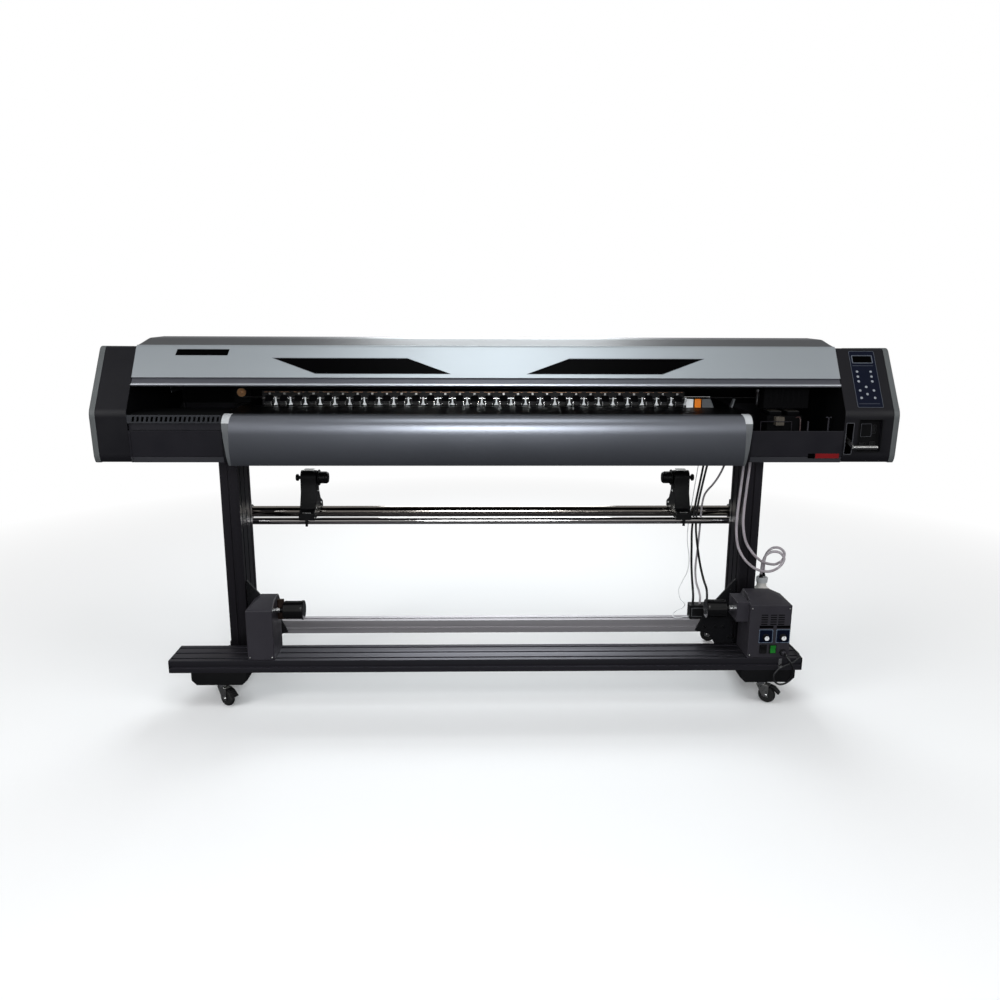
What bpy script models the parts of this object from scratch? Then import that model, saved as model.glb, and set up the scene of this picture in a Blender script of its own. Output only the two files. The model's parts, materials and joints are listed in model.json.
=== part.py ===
"""Wide roll-to-roll sign printer with a sheet-cutting knife, on a stand with a take-up unit.

Frame: X to the right seen from the front, Y to the back, Z up, all in metres.  The origin is on
the floor, under the middle of the machine.  Each piece is one named object, and a moving piece
has its origin on its joint's axis.
"""
import math

import bpy
import bmesh
from mathutils import Matrix, Vector

# ---- driving dimensions -------------------------------------------------------------------
GAP = 0.0003                 # left between pieces that touch
WIDTH = 2.74                 # over both side trims
HALF_DEPTH = 0.355           # apron nose and rear ends of the feet, from the origin
BODY_BOTTOM = 0.906          # underside of the printer body
NOSE_Z = 1.076               # height of the crease in the end caps
NOSE_Y = -0.300              # the crease, the front of the end caps
BODY_TOP = 1.288             # top front edge of the end caps
TOP_BACK = 1.269             # the caps' top falls to this towards the back
TOP_FRONT_Y = -0.158         # front edge of that flat top
REAR_Y = 0.300               # back of the body
TRIM = 0.021                 # thickness of a side trim
LEFT_IN = -1.2455            # inner face of the left end cap
RIGHT_IN = 1.1825            # inner face of the right end cap
SHEET = 0.004                # sheet metal of the housings

PLATEN_LEFT, PLATEN_RIGHT = -0.932, 0.866
PLATEN_TOP = 1.070
TRAY_FRONT = -0.297          # front wall of the lower housing
TRAY_REAR = 0.286
TRAY_WALL_TOP = 1.016

FOOT_BOTTOM, FOOT_TOP = 0.087, 0.139
BEAM_TOP = 0.186             # top of the take-up beam
BEAM_FRONT, BEAM_BACK = -0.300, -0.158
LEG_FRONT, LEG_BACK = -0.100, 0.060
LEG_WIDTH = 0.066
LEFT_LEG_X, RIGHT_LEG_X = -0.978, 0.947      # middles of the legs
LEFT_FOOT_X, RIGHT_FOOT_X = -1.002, 0.986    # middles of the feet
FOOT_WIDTH = 0.200

SLOPE = (BODY_TOP - NOSE_Z) / (TOP_FRONT_Y - NOSE_Y)     # rise of the sloping front per metre back

# ---- scene and materials ------------------------------------------------------------------
for old in list(bpy.data.objects):
    bpy.data.objects.remove(old, do_unlink=True)


def material(name, colour, roughness, metallic=0.0):
    made = bpy.data.materials.new(name)
    made.use_nodes = True
    shader = made.node_tree.nodes["Principled BSDF"]
    shader.inputs["Base Color"].default_value = (*colour, 1.0)
    shader.inputs["Roughness"].default_value = roughness
    shader.inputs["Metallic"].default_value = metallic
    return made


DARK = material("dark_grey_shell", (0.045, 0.043, 0.052), 0.45)
SILVER = material("silver_lid", (0.42, 0.44, 0.47), 0.30, 0.8)
TRIM_GREY = material("light_trim", (0.55, 0.56, 0.58), 0.45)
EXTRUSION = material("dark_extrusion", (0.075, 0.072, 0.082), 0.40, 0.6)
ALUMINIUM = material("clear_aluminium", (0.62, 0.62, 0.64), 0.30, 1.0)
CHROME = material("chrome", (0.75, 0.74, 0.73), 0.10, 1.0)
BLACK = material("black_plastic", (0.012, 0.012, 0.013), 0.40)
STEEL = material("zinc_steel", (0.50, 0.50, 0.50), 0.35, 1.0)
RUBBER = material("black_rubber", (0.02, 0.02, 0.02), 0.75)
BRASS = material("brass", (0.62, 0.36, 0.20), 0.30, 1.0)
GREEN = material("green_switch", (0.02, 0.30, 0.05), 0.35)
WHITE = material("milky_plastic", (0.70, 0.69, 0.66), 0.45)
TUBE = material("waste_tube", (0.50, 0.47, 0.49), 0.40)


# ---- modelling tools ----------------------------------------------------------------------
def finish_mesh(name, mesh, finish, origin, smooth_angle):
    """Wrap a mesh made in world coordinates in an object whose origin is at a chosen point."""
    mesh.transform(Matrix.Translation(-Vector(origin)))
    mesh.materials.append(finish)
    mesh.shade_smooth()
    mesh.set_sharp_from_angle(angle=math.radians(smooth_angle))
    made = bpy.data.objects.new(name, mesh)
    made.location = origin
    bpy.context.collection.objects.link(made)
    return made


def prism(name, outline, low, high, finish, along="X", origin=(0, 0, 0), smooth_angle=30):
    """Extrude a closed outline.  Its points are (y, z) along X, (x, z) along Y, (x, y) along Z."""
    place = {"X": lambda a, b, t: (t, a, b),
             "Y": lambda a, b, t: (a, t, b),
             "Z": lambda a, b, t: (a, b, t)}[along]
    work = bmesh.new()
    near = [work.verts.new(place(a, b, low)) for a, b in outline]
    far = [work.verts.new(place(a, b, high)) for a, b in outline]
    work.faces.new(near)
    work.faces.new(far)
    for i, vert in enumerate(near):
        j = (i + 1) % len(near)
        work.faces.new((vert, near[j], far[j], far[i]))
    bmesh.ops.recalc_face_normals(work, faces=work.faces)
    mesh = bpy.data.meshes.new(name)
    work.to_mesh(mesh)
    work.free()
    return finish_mesh(name, mesh, finish, origin, smooth_angle)


def block(name, low, high, finish, origin=(0, 0, 0)):
    """A box between two opposite corners."""
    (x0, y0, z0), (x1, y1, z1) = low, high
    outline = [(y0, z0), (y1, z0), (y1, z1), (y0, z1)]
    return prism(name, outline, x0, x1, finish, origin=origin)


def lathe(name, profile, centre, direction, finish, sides=24, origin=None, inner=None):
    """Turn (distance along the axis, radius) points about an axis through centre.

    With inner given, the piece is a ring: inner holds the bore's points, front to back.
    """
    axis = Vector(direction).normalized()
    turn = Vector((0, 0, 1)).rotation_difference(axis).to_matrix().to_4x4()
    place = Matrix.Translation(Vector(centre)) @ turn
    points = list(profile) + (list(reversed(inner)) if inner else [])
    work = bmesh.new()
    rings = []
    for along, radius in points:
        ring = []
        for k in range(sides):
            angle = 2 * math.pi * k / sides
            spot = Vector((radius * math.cos(angle), radius * math.sin(angle), along))
            ring.append(work.verts.new(place @ spot))
        rings.append(ring)
    pairs = list(zip(rings, rings[1:]))
    if inner:
        pairs.append((rings[-1], rings[0]))
    else:
        work.faces.new(rings[0])
        work.faces.new(rings[-1])
    for one, two in pairs:
        for k in range(sides):
            m = (k + 1) % sides
            work.faces.new((one[k], one[m], two[m], two[k]))
    bmesh.ops.recalc_face_normals(work, faces=work.faces)
    mesh = bpy.data.meshes.new(name)
    work.to_mesh(mesh)
    work.free()
    return finish_mesh(name, mesh, finish, origin or centre, 40)


def combine(target, tool, operation):
    """Add or cut with a hidden tool object."""
    tool.name = f"tool_{target.name}_{len(target.modifiers)}"
    tool.hide_render = True
    tool.display_type = "WIRE"
    change = target.modifiers.new(tool.name, "BOOLEAN")
    change.operation = operation
    change.object = tool
    return target


def cut(target, tool):
    return combine(target, tool, "DIFFERENCE")


def weld(target, tool):
    return combine(target, tool, "UNION")


def join_tools(tools):
    """Make one tool out of separate ones that don't touch."""
    work = bmesh.new()
    for tool in tools:
        piece = tool.data.copy()
        piece.transform(tool.matrix_world)
        work.from_mesh(piece)
    for extra in tools[1:]:
        bpy.data.objects.remove(extra, do_unlink=True)
    work.to_mesh(tools[0].data)
    work.free()
    tools[0].location = (0, 0, 0)
    return tools[0]


def arc(centre, radius, start, stop, steps):
    """Points on an arc, angles in degrees."""
    points = []
    for k in range(steps + 1):
        angle = math.radians(start + (stop - start) * k / steps)
        points.append((centre[0] + radius * math.cos(angle), centre[1] + radius * math.sin(angle)))
    return points


def bezier(p0, p1, p2, p3, steps):
    points = []
    for k in range(steps + 1):
        t = k / steps
        s = 1 - t
        points.append(tuple(s ** 3 * a + 3 * s * s * t * b + 3 * s * t * t * c + t ** 3 * d
                            for a, b, c, d in zip(p0, p1, p2, p3)))
    return points


def slotted(width, height, slots_across, slots_up, mouth, depth):
    """Outline of an extrusion centred on (0, 0), with open grooves along all four faces."""
    def side(length, count):
        """Steps along one face: (along, inward) pairs from corner to corner, corner left out."""
        steps = []
        for k in range(count):
            middle = length * (k + 0.5) / count
            steps += [(middle - mouth / 2, 0), (middle - mouth / 2, depth),
                      (middle + mouth / 2, depth), (middle + mouth / 2, 0)]
        return steps
    half_w, half_h = width / 2, height / 2
    outline = [(-half_w, -half_h)]
    outline += [(-half_w + a, -half_h + d) for a, d in side(width, slots_across)]
    outline += [(half_w, -half_h)]
    outline += [(half_w - d, -half_h + a) for a, d in side(height, slots_up)]
    outline += [(half_w, half_h)]
    outline += [(half_w - a, half_h - d) for a, d in side(width, slots_across)]
    outline += [(-half_w, half_h)]
    outline += [(-half_w + d, half_h - a) for a, d in side(height, slots_up)]
    return outline


def moved(outline, dx, dy):
    return [(a + dx, b + dy) for a, b in outline]


MOST_CORD_POINTS = 76


def smooth_route(points, spacing, most):
    """Centripetal Catmull-Rom curve through the points, read at an even spacing."""
    spots = [Vector(p) for p in points]
    spots = [2 * spots[0] - spots[1]] + spots + [2 * spots[-1] - spots[-2]]
    fine = []
    for p0, p1, p2, p3 in zip(spots, spots[1:], spots[2:], spots[3:]):
        t0 = 0.0
        t1 = t0 + (p1 - p0).length ** 0.5
        t2 = t1 + (p2 - p1).length ** 0.5
        t3 = t2 + (p3 - p2).length ** 0.5
        for k in range(24):
            t = t1 + (t2 - t1) * k / 24
            a1 = p0.lerp(p1, (t - t0) / (t1 - t0))
            a2 = p1.lerp(p2, (t - t1) / (t2 - t1))
            a3 = p2.lerp(p3, (t - t2) / (t3 - t2))
            b1 = a1.lerp(a2, (t - t0) / (t2 - t0))
            b2 = a2.lerp(a3, (t - t1) / (t3 - t1))
            fine.append(b1.lerp(b2, (t - t1) / (t2 - t1)))
    fine.append(spots[-2])
    total = sum((b - a).length for a, b in zip(fine, fine[1:]))
    count = min(max(2, round(total / spacing)), most)
    route = [fine[0]]
    walked = 0.0
    for a, b in zip(fine, fine[1:]):
        length = (b - a).length
        while len(route) < count and walked + length >= total * len(route) / count:
            share = (total * len(route) / count - walked) / length
            route.append(a.lerp(b, share))
        walked += length
    route.append(fine[-1])
    return route


def cord(name, points, diameter, finish, sides_resolution=2):
    """A tube along a smooth route, with filled ends."""
    route = smooth_route(points, diameter * 2.6, MOST_CORD_POINTS)
    data = bpy.data.curves.new(name, "CURVE")
    data.dimensions = "3D"
    data.bevel_depth = diameter / 2
    data.bevel_resolution = sides_resolution
    data.use_fill_caps = True
    data.resolution_u = 1
    data.render_resolution_u = 0
    line = data.splines.new("POLY")
    line.points.add(len(route) - 1)
    for point, spot in zip(line.points, route):
        point.co = (*spot, 1.0)
    data.materials.append(finish)
    made = bpy.data.objects.new(name, data)
    bpy.context.collection.objects.link(made)
    return made


# ---- body shell ---------------------------------------------------------------------------
def slope_y(z, proud=0.0):
    """Depth of the sloping front face at a height, moved out along its normal."""
    return NOSE_Y + (z - NOSE_Z) / SLOPE - proud * math.hypot(1, 1 / SLOPE)


def side_profile(inset=0.0):
    """Outline of the body seen from its side, drawn in by an even inset."""
    slope_shift = inset * math.hypot(1, 1 / SLOPE)
    nose_drop = inset * 0.30
    back_cut = inset * 0.42
    return [(NOSE_Y + 0.015 + inset, BODY_BOTTOM + inset),
            (NOSE_Y + 0.007 + inset, BODY_BOTTOM + 0.019 + nose_drop),
            (NOSE_Y + inset, NOSE_Z - nose_drop),
            (TOP_FRONT_Y + slope_shift - inset / SLOPE, BODY_TOP - inset),
            (0.200 - back_cut, TOP_BACK - inset),
            (REAR_Y - inset, 1.160 - back_cut),
            (REAR_Y - inset, BODY_BOTTOM + inset)]


def side_trim(name, outer_x, inward):
    inner_x = outer_x + inward * TRIM
    low, high = sorted((outer_x, inner_x))
    return prism(name, side_profile(-0.0015), low, high, TRIM_GREY)


def end_cap(name, inner_x, outer_x):
    """Housing at one end of the body: a thin shell, open towards the middle of the machine."""
    low, high = sorted((inner_x, outer_x))
    shell = prism(name, side_profile(), low, high, DARK)
    inward = 1 if outer_x > inner_x else -1
    hollow_low, hollow_high = sorted((inner_x - inward * 0.01, outer_x - inward * SHEET))
    return cut(shell, prism("hollow", side_profile(SHEET), hollow_low, hollow_high, DARK))


LEVER_X = 1.2015
SLOT_LOW, SLOT_HIGH = 0.935, 1.043
SLOT_HALF = 0.0125
POCKET_X = (1.232, 1.313)
POCKET_Z = (0.944, 1.055)
POCKET_DEPTH = 0.022


def right_end_cap():
    """The right housing also has the lift lever's slot and a square pocket beside it."""
    cap = end_cap("right_end_cap", RIGHT_IN, WIDTH / 2 - TRIM - GAP)
    wall = 0.003
    back_y = NOSE_Y + POCKET_DEPTH + wall
    block_low = (POCKET_X[0] - wall, NOSE_Y + 0.0095, POCKET_Z[0] - wall)
    block_high = (POCKET_X[1] + wall, back_y, POCKET_Z[1] + wall)
    weld(cap, block("pocket_walls", block_low, block_high, DARK))
    pocket_low = (POCKET_X[0], NOSE_Y - 0.02, POCKET_Z[0])
    pocket_high = (POCKET_X[1], NOSE_Y + POCKET_DEPTH, POCKET_Z[1])
    cut(cap, block("pocket", pocket_low, pocket_high, DARK))
    slot_low = (LEVER_X - SLOT_HALF, NOSE_Y - 0.02, SLOT_LOW)
    slot_high = (LEVER_X + SLOT_HALF, NOSE_Y + 0.03, SLOT_HIGH)
    cut(cap, block("slot", slot_low, slot_high, DARK))
    return cap


COVER_FRONT = (-0.1470, 1.2915)
COVER_RIDGE_Z = 1.313
REAR_SLOT_TOP = 1.100


def cover_profile(inset):
    """Top and rear cover from its front edge, over the ridge and down to the media slot."""
    return [(COVER_FRONT[0] + 1.4 * inset, COVER_FRONT[1] - 1.05 * inset),
            (-0.050 + 0.1 * inset, COVER_RIDGE_Z - inset),
            (0.135 - 0.4 * inset, COVER_RIDGE_Z - inset),
            (TRAY_REAR - inset, 1.155 - 0.4 * inset),
            (TRAY_REAR - inset, REAR_SLOT_TOP - (0.01 if inset else 0)),
            (COVER_FRONT[0] + 1.4 * inset, REAR_SLOT_TOP - (0.01 if inset else 0))]


def top_cover():
    """Sheet cover over the whole width, with closed ends, open below and in front."""
    low, high = LEFT_IN + 0.0008, RIGHT_IN - 0.0008
    cover = prism("top_cover", cover_profile(0), low, high, DARK)
    hollow = prism("hollow", cover_profile(SHEET), low + SHEET, high - SHEET, DARK)
    cut(cover, hollow)
    front = block("front_opening", (low + SHEET, COVER_FRONT[0] - 0.01, REAR_SLOT_TOP - 0.02),
                  (high - SHEET, COVER_FRONT[0] + 0.02, COVER_FRONT[1] - 0.012), DARK)
    cut(cover, front)
    ends = block("end_opening", (low - 0.01, COVER_FRONT[0] - 0.01, REAR_SLOT_TOP - 0.02),
                 (high + 0.01, 0.130, BODY_TOP - 0.030), DARK)
    return cut(cover, ends)


LID_TOP = (TOP_FRONT_Y + 0.005, 1.2885)      # hinge axis
LID_FACE_LOW = 1.188
LID_LOW = 1.158
LID_PROUD = 0.003


def lid():
    """Sloping front lid: face, groove and round grip lip, with the hinge roll at the top."""
    face = lambda z, depth: (slope_y(z, LID_PROUD - depth), z)
    grip_centre = (slope_y(LID_LOW + 0.006, LID_PROUD - 0.008), LID_LOW + 0.006)
    outline = [face(1.284, 0.0), face(LID_FACE_LOW, 0.0), face(LID_FACE_LOW - 0.003, 0.006)]
    outline += arc(grip_centre, 0.006, 115, 275, 6)
    outline += [(grip_centre[0] + 0.022, LID_LOW + 0.001), (grip_centre[0] + 0.022, LID_LOW + 0.004),
                (grip_centre[0] + 0.008, LID_LOW + 0.006), face(LID_FACE_LOW - 0.002, 0.010),
                face(1.276, 0.004)]
    outline += arc(LID_TOP, 0.0045, 250, 480, 7)
    return prism("lid", outline, LEFT_IN + 0.001, RIGHT_IN - 0.001, SILVER,
                 origin=(0, LID_TOP[0], LID_TOP[1]))


INLET = (0.985, 0.952)       # middle of the mains inlet in the rear wall
INLET_HALF = (0.0165, 0.0130)
INLET_WALL = 0.003


def lower_housing():
    """Long tray with front and rear walls, cable glands under its floor and a mains inlet behind."""
    floor = BODY_BOTTOM
    outline = [(NOSE_Y + 0.015, floor), (NOSE_Y + 0.007, floor + 0.019), (TRAY_FRONT, TRAY_WALL_TOP),
               (TRAY_FRONT + SHEET, TRAY_WALL_TOP), (NOSE_Y + 0.011, floor + 0.020),
               (NOSE_Y + 0.018, floor + SHEET), (TRAY_REAR - SHEET, floor + SHEET),
               (TRAY_REAR - SHEET, 1.044), (TRAY_REAR, 1.044), (TRAY_REAR, floor)]
    tray = prism("lower_housing", outline, LEFT_IN + GAP, RIGHT_IN - GAP, DARK)
    glands = [lathe("gland", [(0, 0.011), (0.008, 0.011), (0.008 + SHEET / 2, 0.009)],
                    (x, y, floor - 0.008), (0, 0, 1), BLACK, sides=12) for x, y in GLANDS]
    x, z = INLET
    half_w, half_h = INLET_HALF
    inlet = block("inlet", (x - half_w, TRAY_REAR - 0.024, z - half_h),
                  (x + half_w, TRAY_REAR + INLET_WALL, z + half_h), BLACK)
    weld(tray, join_tools(glands + [inlet]))
    half_w -= INLET_WALL
    half_h -= INLET_WALL
    return cut(tray, block("socket", (x - half_w, TRAY_REAR - 0.024 + INLET_WALL, z - half_h),
                           (x + half_w, TRAY_REAR + 0.01, z + half_h), BLACK))


def platen():
    """Flat media support with the long slot that the grit roller turns in."""
    outline = [(TRAY_FRONT, TRAY_WALL_TOP + GAP), (TRAY_FRONT, PLATEN_TOP), (TRAY_REAR, PLATEN_TOP),
               (TRAY_REAR, 1.044 + GAP), (TRAY_FRONT + 0.006, 1.044 + GAP),
               (TRAY_FRONT + 0.006, TRAY_WALL_TOP + GAP)]
    plate = prism("platen", outline, PLATEN_LEFT, PLATEN_RIGHT, ALUMINIUM)
    slot = block("roller_slot", (GRIT_LEFT - 0.002, GRIT_Y - 0.0125, 1.03),
                 (GRIT_RIGHT + 0.002, GRIT_Y + 0.0125, 1.09), ALUMINIUM)
    return cut(plate, slot)


APRON_SHEET = 0.005
APRON_LEFT, APRON_RIGHT = -0.916, 0.850


def apron():
    """Curved front guide that the media runs over on its way down."""
    def curve(inset):
        front = -HALF_DEPTH + inset
        upper = bezier((TRAY_FRONT - 0.0015, 1.0735 - inset), (-0.333, 1.0745 - inset),
                       (front, 1.058), (front, 1.010), 8)
        lower = bezier((front, 1.010), (front, 0.965), (-0.350 + inset, 0.928),
                       (-0.334 + inset * 0.8, 0.902 + inset * 0.2), 5)
        return upper + lower[1:]
    outline = curve(0) + list(reversed(curve(APRON_SHEET)))
    return prism("apron", outline, APRON_LEFT, APRON_RIGHT, DARK)


LOUVRES = 19
LOUVRE_PITCH = 0.0157
LOUVRE_FIRST_X = -1.2225
LOUVRE_WIDTH = 0.008
LOUVRE_LEAN = -0.004
LOUVRE_LOW, LOUVRE_HIGH = 1.0455, 1.0625


def louvred_panel():
    """Upper left front panel: slatted face with a recess below it and a flat shelf behind."""
    lip = 1.0405
    deep = TRAY_FRONT + 0.010
    outline = [(TRAY_FRONT, lip), (TRAY_FRONT, 1.068), (-0.100, 1.068), (-0.100, 1.065),
               (TRAY_FRONT + 0.003, 1.065), (TRAY_FRONT + 0.003, lip + 0.003), (deep + 0.003, lip + 0.003),
               (deep + 0.003, TRAY_WALL_TOP + GAP), (deep, TRAY_WALL_TOP + GAP), (deep, lip)]
    panel = prism("louvred_panel", outline, LEFT_IN + GAP, PLATEN_LEFT - GAP, DARK)
    slits = []
    for k in range(LOUVRES):
        x = LOUVRE_FIRST_X + k * LOUVRE_PITCH
        shape = [(x - LOUVRE_WIDTH / 2 + LOUVRE_LEAN, LOUVRE_LOW), (x + LOUVRE_WIDTH / 2 + LOUVRE_LEAN, LOUVRE_LOW),
                 (x + LOUVRE_WIDTH / 2, LOUVRE_HIGH), (x - LOUVRE_WIDTH / 2, LOUVRE_HIGH)]
        slits.append(prism("slit", shape, TRAY_FRONT - 0.005, TRAY_FRONT + 0.006, DARK, along="Y"))
    return cut(panel, join_tools(slits))


# ---- print and cut mechanism --------------------------------------------------------------
GRIT_Y = -0.050
GRIT_RADIUS = 0.010
GRIT_LEFT, GRIT_RIGHT = -0.880, 0.740
PINCH_ROLLERS = 29
PINCH_PITCH = 0.0535
PINCH_FIRST_X = -0.832
PINCH_HALF = 0.015
BANK_AXIS = (0.004, 1.105)
BANK_LOW = 1.0728
CARRIAGE_X = 1.020
CARRIAGE_HALF = 0.080
PULLEY_RADIUS = 0.016
PULLEY_X, PULLEY_FAR_X = -0.945, 1.140
PULLEY_Z = 1.112
BELT_Y = (0.0168, 0.0262)


def guide_rail():
    """Beam across the body, with the carriage's linear rail on its front face."""
    outline = [(0.030, 1.150), (0.030, 1.200), (0.0165, 1.200), (0.0165, 1.215), (0.030, 1.215),
               (0.030, 1.250), (0.090, 1.250), (0.090, 1.150)]
    return prism("guide_rail", outline, LEFT_IN + 0.0055, RIGHT_IN - 0.0055, ALUMINIUM)


def carriage():
    """Print head carriage: the heads in front, the bearing part above the pinch rollers."""
    outline = [(-0.170, 1.078), (-0.170, 1.165), (-0.135, 1.238), (0.0155, 1.238), (0.0155, 1.136),
               (-0.083, 1.136), (-0.083, 1.078)]
    return prism("carriage", outline, CARRIAGE_X - CARRIAGE_HALF, CARRIAGE_X + CARRIAGE_HALF, BLACK,
                 origin=(CARRIAGE_X, 0.0, 1.20))


def cutter_holder():
    """Knife holder on the left of the carriage, with its blade point down."""
    x = CARRIAGE_X - CARRIAGE_HALF - 0.0105
    profile = [(0, 0.0008), (0.007, 0.003), (0.012, 0.006), (0.045, 0.006), (0.050, 0.009), (0.064, 0.009)]
    return lathe("cutter_holder", profile, (x, -0.130, 1.0795), (0, 0, 1), STEEL, sides=16)


def drive_belt():
    """Closed belt loop from the idler to the drive pulley."""
    def loop(radius):
        return (arc((PULLEY_FAR_X, PULLEY_Z), radius, -90, 90, 8)
                + arc((PULLEY_X, PULLEY_Z), radius, 90, 270, 8))
    inner_radius = PULLEY_RADIUS + GAP
    belt = prism("drive_belt", loop(inner_radius + 0.002), *BELT_Y, RUBBER, along="Y")
    return cut(belt, prism("inside", loop(inner_radius), BELT_Y[0] - 0.01, BELT_Y[1] + 0.01, RUBBER, along="Y"))


def idler_pulley():
    width = BELT_Y[1] - BELT_Y[0]
    profile = [(-0.010, 0.004), (0, 0.004), (0, PULLEY_RADIUS - GAP), (width, PULLEY_RADIUS - GAP),
               (width, 0.004), (width + 0.003, 0.004)]
    return lathe("idler_pulley", profile, (PULLEY_X, BELT_Y[0], PULLEY_Z), (0, 1, 0), BRASS)


def grit_roller():
    centre = (GRIT_LEFT, GRIT_Y, PLATEN_TOP + 0.0005 - GRIT_RADIUS)
    length = GRIT_RIGHT - GRIT_LEFT
    return lathe("grit_roller", [(0, GRIT_RADIUS), (length, GRIT_RADIUS)], centre, (1, 0, 0), STEEL)


def pinch_bank():
    """Bar with one arm for each pinch roller; the rollers lift together."""
    half_bar = PINCH_HALF + 0.012
    left = PINCH_FIRST_X - half_bar
    right = PINCH_FIRST_X + (PINCH_ROLLERS - 1) * PINCH_PITCH + half_bar
    bar_back, bar_front, arm_front = 0.012, -0.020, -0.064
    outline = [(left, bar_back), (left, bar_front)]
    for k in range(PINCH_ROLLERS):
        x = PINCH_FIRST_X + k * PINCH_PITCH
        outline += [(x - PINCH_HALF, bar_front), (x - PINCH_HALF, arm_front),
                    (x + PINCH_HALF, arm_front), (x + PINCH_HALF, bar_front)]
    outline += [(right, bar_front), (right, bar_back)]
    bank = prism("pinch_bank", outline, BANK_LOW, 1.122, BLACK, along="Z",
                 origin=(0, BANK_AXIS[0], BANK_AXIS[1]))
    wedge = prism("wedge", [(-0.0215, 1.13), (-0.0215, 1.108), (-0.044, 1.089), (-0.080, 1.089), (-0.080, 1.13)],
                  left - 0.01, right + 0.01, BLACK)
    return cut(bank, wedge)


LEVER_AXIS = (-0.250, 0.990)


def pinch_lever():
    """Lift lever: pivot inside the cap, arm through the slot, cross handle outside."""
    arm = [(-0.256, 0.984), (-0.243, 0.984), (-0.243, 0.997), (-0.258, 0.998), (-0.338, 0.972),
           (-0.338, 0.961)]
    lever = prism("pinch_lever", arm, LEVER_X - 0.004, LEVER_X + 0.004, STEEL,
                  origin=(LEVER_X, LEVER_AXIS[0], LEVER_AXIS[1]))
    handle = lathe("handle", [(0, 0.0045), (0.004, 0.006), (0.080, 0.006), (0.084, 0.0045)],
                   (LEVER_X - 0.002, -0.340, 0.9665), (1, 0, 0), STEEL, sides=16)
    return weld(lever, handle)


def capping_station():
    """Two rubber caps on a lifting block, under the parked carriage."""
    low, high = 0.940, 1.052
    x0, x1 = CARRIAGE_X - 0.062, CARRIAGE_X + 0.062
    station = block("capping_station", (x0, -0.168, low), (x1, -0.088, high), BLACK,
                    origin=(CARRIAGE_X, -0.128, low))
    caps = [block("cap", (x - 0.022, -0.162, high - 0.002), (x + 0.022, -0.094, high + 0.014), BLACK)
            for x in (CARRIAGE_X - 0.032, CARRIAGE_X + 0.032)]
    return weld(station, join_tools(caps))


# ---- stand --------------------------------------------------------------------------------
MEDIA_BARS = {"front_media_bar": (0.120, 0.595, 0.0135), "rear_media_bar": (0.260, 0.600, 0.0220)}
ARM_LOW, ARM_HIGH = 0.560, 0.640
ARM_THICKNESS = 0.018


def arm_face(middle_x):
    """Inner face of the arm on the outer side of a leg; the media bars end there."""
    return middle_x + math.copysign(LEG_WIDTH / 2 - 0.0005, middle_x)


def leg(name, middle_x):
    """Grooved column with an arm on its outer side that reaches back to carry the two media bars."""
    profile = slotted(LEG_WIDTH, LEG_BACK - LEG_FRONT, 1, 3, 0.010, 0.006)
    column = prism(name, moved(profile, middle_x, (LEG_FRONT + LEG_BACK) / 2), FOOT_TOP + GAP,
                   BODY_BOTTOM - GAP, EXTRUSION, along="Z")
    arm = [(-0.020, ARM_LOW - 0.05), (LEG_BACK + 0.010, ARM_LOW - 0.05), (0.300, ARM_LOW + 0.005),
           (0.300, ARM_HIGH), (-0.020, ARM_HIGH)]
    inner = arm_face(middle_x)
    outer = inner + math.copysign(ARM_THICKNESS, middle_x)
    return weld(column, prism("arm", arm, min(inner, outer), max(inner, outer), EXTRUSION))


def foot(name, middle_x, plate_back, leg_x):
    """Wide front plate with chamfered lower edges, a rail under the leg to the back, two caster plates."""
    half = FOOT_WIDTH / 2
    chamfer = 0.018
    low = FOOT_BOTTOM + 0.004
    outline = [(middle_x - half + chamfer, low), (middle_x + half - chamfer, low),
               (middle_x + half, low + chamfer), (middle_x + half, FOOT_TOP),
               (middle_x - half, FOOT_TOP), (middle_x - half, low + chamfer)]
    wide = prism(name, outline, BEAM_FRONT + 0.004, plate_back, EXTRUSION, along="Y")
    rail = block("rail", (leg_x - LEG_WIDTH / 2, plate_back - 0.050, low + 0.001),
                 (leg_x + LEG_WIDTH / 2, HALF_DEPTH, FOOT_TOP - 0.001), EXTRUSION)
    plates = [block("plate", (x - half_plate, y - 0.030, FOOT_BOTTOM), (x + half_plate, y + 0.030, low + 0.002), STEEL)
              for x, y, half_plate in ((middle_x, FRONT_CASTER_Y, 0.034), (leg_x, REAR_CASTER_Y, 0.031))]
    return weld(weld(wide, rail), join_tools(plates))


def cross_beam():
    """Beam between the legs with a gusset plate welded on at each end."""
    left = LEFT_LEG_X + LEG_WIDTH / 2 + GAP
    right = RIGHT_LEG_X - LEG_WIDTH / 2 - GAP
    size, middle_y, middle_z = 0.050, -0.045, 0.223
    beam = prism("cross_beam", moved(slotted(size, size, 1, 1, 0.010, 0.006), middle_y, middle_z),
                 left, right, ALUMINIUM)
    front = middle_y - size / 2
    plates = []
    for edge, inward in ((left, 1), (right, -1)):
        shape = [(edge, FOOT_TOP + 0.002), (edge, 0.415), (edge + inward * 0.110, 0.281),
                 (edge + inward * 0.145, 0.205), (edge + inward * 0.090, 0.193),
                 (edge + inward * 0.060, FOOT_TOP + 0.002)]
        plates.append(prism("gusset", shape, front - 0.009, front + 0.002, BLACK, along="Y"))
    return weld(beam, join_tools(plates))


def takeup_beam():
    profile = slotted(BEAM_BACK - BEAM_FRONT, BEAM_TOP - FOOT_TOP - GAP, 3, 1, 0.010, 0.006)
    middle_z = (BEAM_TOP + FOOT_TOP + GAP) / 2
    return prism("takeup_beam", moved(profile, (BEAM_FRONT + BEAM_BACK) / 2, middle_z), -1.176, 1.105,
                 EXTRUSION)


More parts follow.
